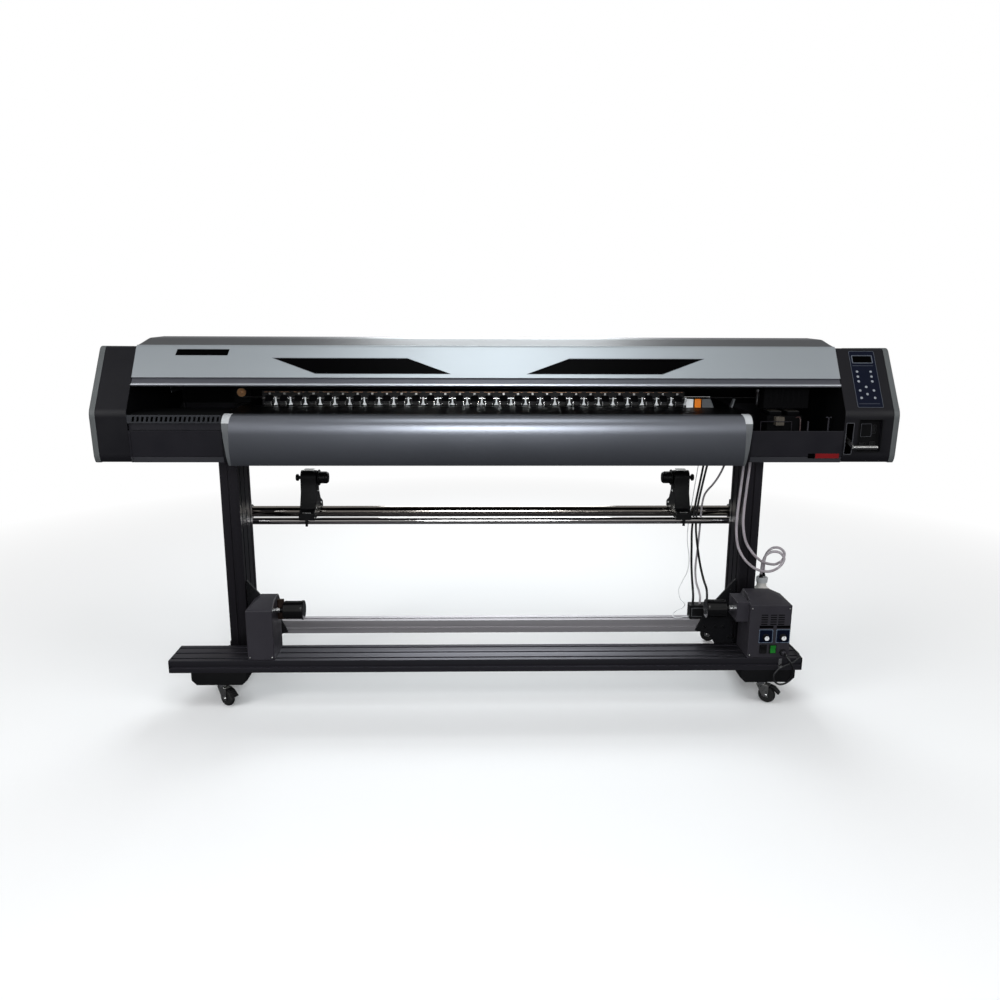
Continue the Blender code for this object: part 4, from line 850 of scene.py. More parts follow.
def top_cover():
    """Painted sheet with rounded ends, the plates that close it, its lining, the rear walls and the dust
    flap.
    """
    low, high = LEFT_IN + 0.0008, RIGHT_IN - 0.0008
    steps = [0.0, 0.0005, 0.0012, 0.0024, 0.0040, 0.0060, 0.0080, COVER_ROUND]
    stations = [low + d for d in steps] + [high - d for d in reversed(steps)]
    work = bmesh.new()
    loops = []
    for x in stations:
        d = min(x - low, high - x)
        drop = COVER_ROUND - math.sqrt(max(0.0, COVER_ROUND ** 2 - (COVER_ROUND - d) ** 2))
        section = cover_line(0.0, drop) + list(reversed(cover_line(0.0032, drop)))
        loops.append([work.verts.new((x, y, z)) for y, z in section])
    piece("cover_skin", skin(work, loops), "cover", smooth=30, replaces=("top_cover",))
    inner = cover_line(0.0036, COVER_ROUND)
    end = inner + [(0.131, REAR_SLOT_TOP), (0.131, 1.2585), (COVER_FRONT[0] + 0.004, 1.2585)]
    for side, x in (("left", low), ("right", high - 0.003)):
        extruded(f"cover_end_{side}", end, x, x + 0.003, "cover", bevel=0.0004)
    extruded("cover_lining", cover_line(0.0040, 0.0) + list(reversed(cover_line(0.0046, 0.0))),
             low + COVER_ROUND, high - COVER_ROUND, "inner", bevel=0.0)
    flap = [(TRAY_REAR - 0.011, 1.0445), (TRAY_REAR - 0.011, 1.112), (TRAY_REAR - 0.009, 1.112),
            (TRAY_REAR - 0.009, 1.0445)]
    for x0, x1 in ((LEFT_IN - 0.0025, PLATEN_LEFT - 0.0006), (PLATEN_RIGHT + 0.0006, RIGHT_IN + 0.0025)):
        extruded(f"rear_wall_{'left' if x0 < 0 else 'right'}", flap, x0, x1, "inner", bevel=0.0004)
    brush = [(y + 0.0022, max(z, PLATEN_TOP + 0.0012)) for y, z in flap]
    extruded("dust_flap", brush, PLATEN_LEFT - 0.006, PLATEN_RIGHT + 0.006, "inner", bevel=0.0004)


# ---- front and rear panels, apron, platen ---------------------------------------------------
PLATEN_LEFT, PLATEN_RIGHT, PLATEN_TOP = -0.932, 0.866, 1.070
APRON_LEFT, APRON_RIGHT = -0.916, 0.850
APRON_SHEET, APRON_BEND, APRON_LOW = 0.005, 1.045, 0.902
STRIP_TOP, STRIP_BOTTOM, STRIP_LEAN = 0.026, 0.008, 0.011
HALF_DEPTH = 0.355


def bezier(a, b, c, d, steps):
    """Points on a cubic curve."""
    spots = []
    for k in range(steps + 1):
        t = k / steps
        s = 1 - t
        spots.append(tuple(s ** 3 * p + 3 * s * s * t * q + 3 * s * t * t * r + t ** 3 * w
                           for p, q, r, w in zip(a, b, c, d)))
    return spots


def apron_curve(inset, steps=28):
    """Section of the apron's front, from the platen over the nose and down to its lower edge."""
    front = -HALF_DEPTH + inset
    upper = bezier((TRAY_FRONT - 0.0015, 1.0735 - inset), (-0.333, 1.0745 - inset), (front, 1.058),
                   (front, 1.010), steps)
    lower = bezier((front, 1.010), (front, 0.965), (-0.350 + inset, 0.928),
                   (-0.334 + inset * 0.8, APRON_LOW + inset * 0.2), steps * 2 // 3)
    return upper + lower[1:]


def apron_edge(side, share, z, outward=0.0):
    """X of a line on the apron's end strip: share 0 is the strip's outer edge, 1 its inner edge.

    Below the bend both edges lean inwards; outward moves the line towards the apron's end.
    """
    fall = max(0.0, APRON_BEND - z) / (APRON_BEND - APRON_LOW)
    width = STRIP_BOTTOM + (STRIP_TOP - STRIP_BOTTOM) * (z - APRON_LOW) / (PLATEN_TOP + 0.004 - APRON_LOW)
    inwards = STRIP_LEAN * fall + share * width - outward
    return APRON_LEFT + inwards if side == "left" else APRON_RIGHT - inwards


def apron_piece(name, inset, left, right, look, bevel=0.0, replaces=(), lowest=0.0):
    """Part of the apron's sheet between two edges, each a function of the height."""
    front, back = ([spot for spot in apron_curve(depth) if spot[1] >= lowest] for depth in (inset,
                                                                                            APRON_SHEET))
    section = front + list(reversed(back))
    work = bmesh.new()
    ends = [[work.verts.new((edge(z), y, z)) for y, z in section] for edge in (left, right)]
    return piece(name, skin(work, ends), look, smooth=30, bevel=bevel, replaces=replaces)


def apron():
    """Curved heater plate between two lighter end strips that narrow downwards; above the bend the strips'
    upward-facing tops get a painted highlight in pale plastic.
    """
    apron_piece("apron_plate", 0.0006, lambda z: apron_edge("left", 0.9, z),
                lambda z: apron_edge("right", 0.9, z), "apron", replaces=("apron",))
    for part, inset, look, bevel, lowest, outer, inner in (
            ("end", 0.0, "strip", 0.0006, 0.0, 0.0, 0.0),
            # the pale rows above the bend are a painted highlight on the strips' tops, not a part of their
            # own
            ("cap", -0.0006, "pale", 0.0004, APRON_BEND, 0.0002, -0.0006)):
        for side in ("left", "right"):
            apron_piece(f"apron_{part}_{side}", inset, lambda z: apron_edge(side, 0, z, outer),
                        lambda z: apron_edge(side, 1, z, inner), look, bevel, lowest=lowest)


def panels():
    """Front panels on the housing beside the apron, and the service panels behind."""
    def front(name, left, right, look="panel"):
        face = [(TRAY_FRONT + 0.0018, BODY_BOTTOM + 0.0215), (TRAY_FRONT - 0.0020, TRAY_WALL_TOP - 0.0022),
                (TRAY_FRONT - 0.0020, TRAY_WALL_TOP - 0.0008), (TRAY_FRONT - 0.0003, TRAY_WALL_TOP - 0.0004),
                (TRAY_FRONT + 0.0030, BODY_BOTTOM + 0.0200)]
        extruded(name, face, left, right, look, bevel=0.0005)
        lip = [(NOSE_Y + 0.0075, BODY_BOTTOM + 0.0195), (NOSE_Y + 0.0058, BODY_BOTTOM + 0.0190),
               (NOSE_Y + 0.0135, BODY_BOTTOM - 0.0008), (NOSE_Y + 0.0160, BODY_BOTTOM - 0.0002)]
        extruded(f"{name}_lip", lip, left, right, "panel_lip", bevel=0.0003)
    seam = LEFT_IN + 0.0085
    front("left_front_panel", seam, PLATEN_LEFT - 0.0012)
    front("left_corner_panel", LEFT_IN + 0.0010, seam - 0.0012)
    front("right_front_panel", PLATEN_RIGHT + 0.0012, RIGHT_IN - 0.0010)

    rear = bmesh.new()
    vents = bmesh.new()
    heads = []
    for left, right in ((-1.222, -0.640), (-0.630, -0.010), (0.000, 0.620), (0.630, 0.940), (1.030, 1.160)):
        middle, width = (left + right) / 2, right - left
        prism(rear, rectangle(width, 0.100, 0.004), 0, 0.0016, facing("back", middle, TRAY_REAR, 0.972))
        for x in (left + 0.012, right - 0.012):
            heads += [facing("back", x, TRAY_REAR + 0.0016, z) for z in (0.932, 1.012)]
        if width > 0.4:
            for column in range(3):
                for k in range(6):
                    x = middle + (column - 1) * 0.055
                    prism(vents, rectangle(0.042, 0.0035, 0.0017, x=0, y=0), 0, 0.0003,
                          facing("back", x, TRAY_REAR + 0.0016, 0.952 + 0.0075 * k))
    piece("rear_panels", rear, "shell", bevel=0.0005)
    piece("rear_vents", vents, "inner")
    screws("rear_panel_screws", heads, radius=0.0033)
    seams = bmesh.new()
    for x in (-0.625, -0.005, 0.615):
        a, b = Vector((x, 0.150, 1.300)), Vector((x, 0.280, 1.170))
        prism(seams, rectangle(0.0022, 0.0008), 0.0, (b - a).length, aim((x, 0.1478, 1.2955), b - a))
    piece("cover_seams", seams, "inner")


def platen():
    """Black anodised plate with rows of suction holes."""
    refined("platen", "platen", 0.0008)
    holes = bmesh.new()
    for row, y in enumerate((-0.135, -0.105, 0.030, 0.075, 0.130, 0.190)):
        for k in range(58):
            x = PLATEN_LEFT + 0.055 + (k + 0.5 * (row % 2)) * 0.0295
            if x < PLATEN_RIGHT - 0.03:
                prism(holes, circle(0.0016, sides=10), 0.0, 0.00025, facing("top", x, y, PLATEN_TOP))
    piece("platen_holes", holes, "inner")
    ridges = bmesh.new()
    for y in (-0.292, -0.285, -0.278, 0.262, 0.272):
        prism(ridges, rectangle(PLATEN_RIGHT - PLATEN_LEFT - 0.004, 0.0016), 0.0, 0.0005,
              facing("top", (PLATEN_LEFT + PLATEN_RIGHT) / 2, y, PLATEN_TOP))
    piece("platen_ridges", ridges, "platen", bevel=0.0002)
    refined("louvred_panel", "louvre", 0.0005)
    shelf = bmesh.new()
    box(shelf, (LEFT_IN + 0.001, TRAY_FRONT + 0.0015, 1.0680), (PLATEN_LEFT - 0.001, -0.1005, 1.0684))
    piece("louvred_shelf_lining", shelf, "inner")
    band = bmesh.new()
    box(band, (LEFT_IN + 0.001, TRAY_FRONT + 0.0094, TRAY_WALL_TOP + 0.0010),
        (PLATEN_LEFT - 0.001, TRAY_FRONT + 0.0099, 1.0398))
    piece("recess_band", band, "panel")


# ---- print mechanism ------------------------------------------------------------------------
PINCH_ROLLERS, PINCH_PITCH, PINCH_FIRST_X, PINCH_HALF = 29, 0.0535, -0.832, 0.015
BANK_LOW, BANK_HIGH = 1.0728, 1.122
GRIT_Y, GRIT_RADIUS, GRIT_LEFT, GRIT_RIGHT = -0.050, 0.010, -0.880, 0.740
PULLEY_X, PULLEY_FAR_X, PULLEY_Z, PULLEY_RADIUS, BELT_FRONT = -0.945, 1.140, 1.112, 0.016, 0.0168
CARRIAGE_X, CARRIAGE_HALF = 1.020, 0.080


def pinch_bank():
    """Black bar with an arm, a steel cheek and a rubber roller at every station."""
    last = PINCH_FIRST_X + (PINCH_ROLLERS - 1) * PINCH_PITCH
    left, right = PINCH_FIRST_X - PINCH_HALF - 0.012, last + PINCH_HALF + 0.012
    bar = [(0.012, BANK_LOW), (-0.020, BANK_LOW), (-0.020, BANK_HIGH), (0.012, BANK_HIGH)]
    extruded("pinch_bar", bar, left, right, "black", "pinch", 0.0010, replaces=("pinch_bank",))
    arm = [(-0.0198, 1.0745), (-0.0198, 1.1060), (-0.0435, 1.0880), (-0.0630, 1.0880), (-0.0630, 1.0835),
           (-0.0420, 1.0870), (-0.0405, 1.0745)]
    cheek = [(-0.0205, BANK_LOW + 0.0004), (-0.0205, 1.1066), (-0.0440, 1.0888), (-0.0638, 1.0888),
             (-0.0638, BANK_LOW + 0.0004)]
    arms, cheeks, rollers, axles, springs, wedges = (bmesh.new() for _ in range(6))
    side = facing("right", 0, 0, 0)
    middle = -0.06
    for k in range(PINCH_ROLLERS):
        x = PINCH_FIRST_X + k * PINCH_PITCH
        inward = 1 if x < middle else -1
        prism(arms, arm, x - 0.0128, x + 0.0128, side)
        edge = x + inward * PINCH_HALF
        prism(cheeks, soften(cheek, 0.0015, 2), *sorted((edge, edge - inward * 0.0016)), side)
        gap = x + PINCH_PITCH / 2
        prism(wedges, [(gap - 0.0085, BANK_LOW + 0.0006), (gap + 0.0085, BANK_LOW + 0.0006),
                       (gap + 0.0040, BANK_LOW + 0.0085), (gap + 0.0022, BANK_LOW + 0.0170),
                       (gap + 0.0028, BANK_HIGH - 0.0200), (gap - 0.0028, BANK_HIGH - 0.0200),
                       (gap - 0.0022, BANK_LOW + 0.0170), (gap - 0.0040, BANK_LOW + 0.0085)], -0.0004, 0.0016,
              facing("front", 0, -0.0420, 0))
        prism(arms, soften(cheek, 0.0015, 2), *sorted((x - inward * PINCH_HALF,
                                                       x - inward * (PINCH_HALF - 0.0016))), side)
        lathe(rollers, [(-0.0115, 0.0062), (-0.0108, 0.0072), (0.0108, 0.0072), (0.0115, 0.0062)],
              aim((x, GRIT_Y, 1.0785), (1, 0, 0)), 20)
        lathe(axles, [(-0.0140, 0.0020), (0.0140, 0.0020)], aim((x, GRIT_Y, 1.0785), (1, 0, 0)), 12)
        box(springs, (x - 0.0035, -0.0205, 1.1085), (x + 0.0035, -0.0195, 1.1150))
    piece("pinch_arms", arms, "black", "pinch", bevel=0.0004)
    piece("pinch_cheeks", cheeks, "bright", "pinch")
    piece("pinch_wedges", wedges, "white", "pinch")
    piece("pinch_rollers", rollers, "rubber", "pinch")
    piece("pinch_axles", axles, "bright", "pinch")
    piece("pinch_springs", springs, "steel", "pinch")
    turned("pinch_shaft", [(0, 0.0024), (0.0006, 0.0030), (right - left - 0.0006, 0.0030),
                           (right - left, 0.0024)],
           (left, -0.0230, 1.0958), (1, 0, 0), "bright", "pinch", 20)
    strip = bmesh.new()
    for k in range(PINCH_ROLLERS):
        x = PINCH_FIRST_X + k * PINCH_PITCH
        box(strip, (x - 0.019, -0.0206, 1.1172), (x + 0.019, -0.0199, 1.1188))
    piece("bank_strip", strip, "copper", "pinch")


def mechanism():
    """Rail, carriage, knife, belt, pulley, rollers, media edge guards and capping station."""
    refined("guide_rail", "inner", 0.0006)
    rail = bmesh.new()
    box(rail, (LEFT_IN + 0.010, 0.0205, 1.2012), (RIGHT_IN - 0.010, 0.0300, 1.2138))
    piece("rail_core", rail, "dark_steel", bevel=0.0004)
    pinch_bank()

    grit = [(0.0, 0.0060), (0.001, 0.0070), (0.014, 0.0070)]
    for k in range(PINCH_ROLLERS):
        start = PINCH_FIRST_X - GRIT_LEFT + k * PINCH_PITCH - 0.016
        grit += [(start, 0.0090), (start + 0.0008, GRIT_RADIUS), (start + 0.0312, GRIT_RADIUS),
                 (start + 0.032, 0.0090)]
    grit += [(GRIT_RIGHT - GRIT_LEFT, 0.0070)]
    turned("grit_shaft", grit, (GRIT_LEFT, GRIT_Y, PLATEN_TOP + 0.0005 - GRIT_RADIUS), (1, 0, 0), "steel",
           "grit",
           40, ("grit_roller",))

    refined("drive_belt", "rubber", 0.0)
    teeth = bmesh.new()
    for k in range(500):
        x = PULLEY_X + 0.02 + k * 0.0041
        for z in (PULLEY_Z - PULLEY_RADIUS - 0.0003, PULLEY_Z + PULLEY_RADIUS + 0.0003):
            inner = z + math.copysign(0.0007, PULLEY_Z - z)
            box(teeth, (x, BELT_FRONT + 0.0004, min(z, inner)),
                (x + 0.0018, BELT_FRONT + 0.0090, max(z, inner)))
    piece("belt_teeth", teeth, "rubber")
    width = 0.0094
    wheel = [(-0.0100, 0.0030), (-0.0095, 0.0040), (0.0, 0.0040), (0.0, 0.0070), (-0.0005, 0.0075),
             (-0.0005, 0.0154), (0.0006, 0.0157), (0.0012, 0.0148), (width - 0.0012, 0.0148),
             (width - 0.0006, 0.0157), (width, 0.0154), (width, 0.004), (width + 0.003, 0.004)]
    turned("idler_wheel", wheel, (PULLEY_X, BELT_FRONT, PULLEY_Z), (0, 1, 0), "brass", "idler", 48,
           ("idler_pulley",), 30)
    motor = [(0.0, 0.0145), (0.0008, 0.0155), (0.0086, 0.0155), (0.0094, 0.0145), (0.0094, 0.006),
             (0.016, 0.006)]
    turned("drive_wheel", motor, (PULLEY_FAR_X, BELT_FRONT, PULLEY_Z), (0, 1, 0), "brass", sides=48,
           smooth=30)
    bracket = bmesh.new()
    box(bracket, (PULLEY_X - 0.030, BELT_FRONT + 0.0135, 1.0725),
        (PULLEY_X + 0.030, BELT_FRONT + 0.0165, 1.1330))
    box(bracket, (PULLEY_X - 0.030, BELT_FRONT - 0.0105, 1.0725),
        (PULLEY_X + 0.030, BELT_FRONT + 0.0165, 1.0750))
    piece("idler_bracket", bracket, "inner", bevel=0.0005)

    carriage()
    capping()
    guards = {"white": (0.6860, 0.7110, 0.0), "orange": (0.7160, 0.7390, 0.0), "grey": (0.7430, 0.7860, 0.0)}
    for colour, (low, high, lean) in guards.items():
        card = [(low, PLATEN_TOP + 0.0006), (high, PLATEN_TOP + 0.0006), (high - lean, 1.1020), (low, 1.1020)]
        if colour == "grey":
            card = [(low, PLATEN_TOP + 0.0006), (high, PLATEN_TOP + 0.0006), (high - 0.013, 1.1020),
                    (low, 1.1020)]
        look = {"white": "white", "orange": "orange", "grey": "strip"}[colour]
        piece(f"{colour}_edge_card", prism(bmesh.new(), soften(card, 0.002, 3), 0.0, 0.0012,
                                           facing("front", 0, -0.0850, 0)), look, bevel=0.0002)
    wedge = prism(bmesh.new(), [(0.8500, 1.0706), (0.8560, 1.0706), (0.8640, 1.1010), (0.8590, 1.1010)], 0,
                  0.02,
                  facing("front", 0, -0.0650, 0))
    piece("platen_end_stop", wedge, "strip", bevel=0.0004)


def carriage():
    """Print head carriage with its cover ribs, head plate, belt clamp and knife."""
    refined("carriage", "inner", 0.0022, 3)
    ribs, plates, dampers = bmesh.new(), bmesh.new(), bmesh.new()
    left = CARRIAGE_X - CARRIAGE_HALF
    for k in range(6):
        box(ribs, (left + 0.020 + k * 0.020, -0.1712, 1.100), (left + 0.028 + k * 0.020, -0.1695, 1.158))
    box(plates, (left + 0.012, -0.160, 1.0768), (left + 2 * CARRIAGE_HALF - 0.012, -0.092, 1.0785))
    box(plates, (left + 0.030, 0.0150, 1.1200), (left + 0.075, 0.0162, 1.1400))
    for k in range(4):
        box(dampers, (left + 0.022 + k * 0.031, -0.120, 1.2375), (left + 0.044 + k * 0.031, -0.075, 1.2450))
    piece("carriage_ribs", ribs, "inner", "carriage", bevel=0.0005)
    piece("head_plate", plates, "steel", "carriage", bevel=0.0004)
    piece("ink_dampers", dampers, "milky", "carriage", bevel=0.0008)
    x = left - 0.0105
    knife = [(0.0, 0.0008), (0.006, 0.0030), (0.007, 0.0050), (0.012, 0.0060), (0.020, 0.0060),
             (0.0205, 0.0055),
             (0.0225, 0.0055), (0.023, 0.0060), (0.045, 0.0060), (0.050, 0.0088), (0.054, 0.0090),
             (0.062, 0.0090),
             (0.064, 0.0080)]
    turned("knife", knife, (x, -0.130, 1.0795), (0, 0, 1), "dark_steel", "cutter", 32, ("cutter_holder",), 30)
    clamp = bmesh.new()
    box(clamp, (left - 0.004, -0.120, 1.105), (left + 0.001, -0.098, 1.135))
    piece("knife_bracket", clamp, "dark_steel", "carriage", bevel=0.0005)


def capping():
    """Lifting block with two hollow rubber caps, their foam, and the wiper beside them."""
    refined("capping_station", "inner", 0.0010)
    rims, pads, frame_lines = bmesh.new(), bmesh.new(), bmesh.new()
    for x in (CARRIAGE_X - 0.032, CARRIAGE_X + 0.032):
        place = facing("top", x, -0.128, 1.0660)
        ring_plate(rims, rectangle(0.044, 0.068, 0.003), rectangle(0.038, 0.062, 0.003), -0.0004, 0.0012,
                   place)
        prism(pads, rectangle(0.037, 0.061), 0.0001, 0.0008, place)
    piece("cap_rims", rims, "rubber", "capping")
    piece("cap_pads", pads, "tan", "capping")
    box(frame_lines, (0.9240, -0.2020, 1.0335), (1.0360, -0.1990, 1.0360))
    box(frame_lines, (0.9240, -0.2020, 0.9110), (0.9265, -0.1990, 1.0360))
    box(frame_lines, (1.0335, -0.2020, 0.9110), (1.0360, -0.1990, 1.0360))
    piece("wiper_frame", frame_lines, "leg", bevel=0.0005)
    foam = bmesh.new()
    box(foam, (0.9790, -0.2000, 1.0205), (1.0090, -0.1740, 1.0510))
    piece("wiper_foam", foam, "tan", bevel=0.0020)
    posts = bmesh.new()
    for x, top in ((1.0930, 1.0370), (1.1650, 1.0520)):
        box(posts, (x - 0.0022, -0.2020, 0.9105), (x + 0.0022, -0.1980, top))
    box(posts, (1.1550, -0.2020, 1.0480), (1.1750, -0.1980, 1.0520))
    piece("pit_posts", posts, "moulding", bevel=0.0004)
    tube = [Vector((1.0665, -0.200, 0.912)), Vector((1.0665, -0.200, 0.980)), Vector((1.0660, -0.199, 1.020)),
            Vector((1.0655, -0.196, 1.044)), Vector((1.0640, -0.185, 1.049)), Vector((1.0600, -0.172, 1.046))]
    wire("cap_ink_line", smooth_route(tube, 6), 0.0045, "pink")


# ---- face of the right housing --------------------------------------------------------------
KEY_SHEET = (1.2270, 1.3140, 1.0960, 1.2770)
KEY_ROWS = [(1.2445, 1.2105), (1.2445, 1.1943), (1.2445, 1.1788), (1.2920, 1.2105), (1.2920, 1.1943),
            (1.2920, 1.1788), (1.2672, 1.1609), (1.2440, 1.1495), (1.2914, 1.1495), (1.2671, 1.1378),
            (1.2444, 1.1260), (1.2912, 1.1260)]


def right_face():
    """Key sheet with its screen, the lever's slot frame, the service pocket and the blank labels."""
    x0, x1, z0, z1 = KEY_SHEET
    middle_z = (z0 + z1) / 2
    length = (z1 - z0) / math.sin(SLOPE_ANGLE)
    middle = on_slope((x0 + x1) / 2, middle_z)
    sheet = prism(bmesh.new(), rectangle(x1 - x0, length, 0.004), 0.0, 0.0008, middle)
    piece("key_sheet", sheet, "blue", bevel=0.0003)
    border = ring_plate(bmesh.new(), rectangle(x1 - x0 + 0.0020, length + 0.0020, 0.0048),
                        rectangle(x1 - x0 - 0.0006, length - 0.0006, 0.0040), 0.0, 0.00105, middle)
    piece("key_sheet_border", border, "sheet_line")
    screen_z, screen_half = 1.2505, 0.0160
    screen = on_slope(1.2690, screen_z)
    ring = ring_plate(bmesh.new(), rectangle(0.0730, 2 * screen_half, 0.003),
                      rectangle(0.0660, 2 * screen_half - 0.006, 0.002), 0.0007, 0.0020, screen)
    piece("screen_frame", ring, "sheet_line")
    piece("screen", prism(bmesh.new(), rectangle(0.0665, 2 * screen_half - 0.0055), 0.0007, 0.0012, screen),
          "gloss")
    keys, rims = bmesh.new(), bmesh.new()
    for x, z in KEY_ROWS:
        place = on_slope(x, z)
        lathe(keys, [(0.0006, 0.0045), (0.0011, 0.0043), (0.0014, 0.0036), (0.0015, 0.0015)], place, 24)
        ring_plate(rims, circle(0.0056), circle(0.0047), 0.0006, 0.0010, place)
    piece("keys", keys, "key", smooth=50)
    piece("key_rims", rims, "blue")
    lines = bmesh.new()
    for z in (1.2296, 1.1070):
        prism(lines, rectangle(0.072, 0.0012), 0.0007, 0.00095, on_slope(1.2680, z))
    piece("key_sheet_lines", lines, "sheet_line")

    slot_middle = (SLOT_LOW + SLOT_HIGH) / 2
    slot = facing("front", LEVER_X, NOSE_Y + 0.0035, slot_middle)
    slot = slot @ Matrix.Rotation(math.atan(0.007 / 0.151), 4, "X")
    outer, inner = rectangle(0.0285, 0.1115, 0.004), rectangle(0.0240, 0.1070, 0.003)
    piece("lever_slot_frame", ring_plate(bmesh.new(), outer, inner, -0.002, 0.0010, slot), "grey_frame",
          bevel=0.0003)
    pocket = facing("front", sum(POCKET_X) / 2, NOSE_Y + 0.0033, sum(POCKET_Z) / 2)
    pocket = pocket @ Matrix.Rotation(math.atan(0.007 / 0.151), 4, "X")
    width, height = POCKET_X[1] - POCKET_X[0], POCKET_Z[1] - POCKET_Z[0]
    piece("pocket_frame", ring_plate(bmesh.new(), rectangle(width + 0.004, height + 0.004, 0.005),
                                     rectangle(width - 0.001, height - 0.001, 0.0035), -0.003, 0.0012,
                                     pocket),
          "black", bevel=0.0003)
    floor_y = NOSE_Y + POCKET_DEPTH
    lining = bmesh.new()
    box(lining, (POCKET_X[0] + 0.0008, floor_y - 0.0012, POCKET_Z[0] + 0.0008),
        (POCKET_X[1] - 0.0008, floor_y - 0.0002, POCKET_Z[1] - 0.0008))
    piece("pocket_floor", lining, "inner")
    outline = ring_plate(bmesh.new(), rectangle(0.037, 0.045, 0.003), rectangle(0.0350, 0.043, 0.0022), 0.0,
                         0.0016,
                         facing("front", 1.2655, floor_y - 0.0010, 1.0165))
    piece("pocket_card_frame", outline, "grey_frame")
    sockets, pins = bmesh.new(), bmesh.new()
    for x, z, w, h in ((1.2560, 0.9680, 0.022, 0.010), (1.2900, 0.9680, 0.020, 0.018),
                       (1.2930, 1.0200, 0.012, 0.030)):
        ring_plate(sockets, rectangle(w, h, 0.001), rectangle(w - 0.003, h - 0.003, 0.0008), 0.0, 0.0030,
                   facing("front", x, floor_y - 0.0010, z))
        prism(pins, rectangle(w - 0.008, h - 0.006), 0.0, 0.0014, facing("front", x, floor_y - 0.0010, z))
    piece("pocket_sockets", sockets, "dark_steel")
    piece("pocket_pins", pins, "black")
    label = bmesh.new()
    prism(label, rectangle(0.0820, 0.0165, 0.0015), 0.0, 0.0006, panel_place(1.1315, 0.9295))
    piece("red_label", label, "red")
    piece("small_label", prism(bmesh.new(), rectangle(0.0240, 0.0165, 0.0015), 0.0, 0.0006,
                               panel_place(1.0770, 0.9295)), "gloss")
    lever()


def panel_place(x, z):
    """Matrix on the front panel beside the apron, which leans forward a little."""
    low_z, high_z = BODY_BOTTOM + 0.0215, TRAY_WALL_TOP - 0.0022
    lean = math.atan(0.0038 / (high_z - low_z))
    y = TRAY_FRONT + 0.0018 - 0.0038 * (z - low_z) / (high_z - low_z)
    return facing("front", x, y, z) @ Matrix.Rotation(lean, 4, "X")


def lever():
    """Lift lever: flat arm with its round cross handle and end caps."""
    refined("pinch_lever", "steel", 0.0008)
    grip = [(0.0, 0.0052), (0.0012, 0.0066), (0.010, 0.0066), (0.0108, 0.0062), (0.058, 0.0062),
            (0.0588, 0.0066),
            (0.0690, 0.0066), (0.0702, 0.0052)]
    turned("lever_grip", grip, (LEVER_X + 0.0100, -0.340, 0.9665), (1, 0, 0), "steel", "lever", 32)


# ---- stand ----------------------------------------------------------------------------------
LEGS = {"left": -0.978, "right": 0.947}
FEET = {"left": -1.002, "right": 0.986}
LEG_FRONT, LEG_BACK, LEG_WIDTH = -0.100, 0.060, 0.066
ARM_THICKNESS = 0.018
FOOT_BOTTOM, FOOT_TOP, FOOT_HALF = 0.087, 0.139, 0.100
BEAM_TOP, BEAM_FRONT, BEAM_BACK = 0.186, -0.300, -0.158
MEDIA_BARS = {"front_media_bar": (0.120, 0.595, 0.0135, "chrome"),
              "rear_media_bar": (0.260, 0.600, 0.0220, "dark_chrome")}


def bolts(name, places, radius=0.006, look="black"):
    """Button-head bolts on thin washers."""
    work = bmesh.new()
    for place in places:
        prism(work, circle(radius * 1.35), 0.0, 0.0010, place)
        screw_head(work, place @ Matrix.Translation((0, 0, 0.0009)), radius, radius * 0.6)
    piece(name, work, look, smooth=35)


def arm_face(leg_x):
    """Inner face of the arm on the outer side of a leg, where the media bars end."""
    return leg_x + math.copysign(LEG_WIDTH / 2 - 0.0005, leg_x)


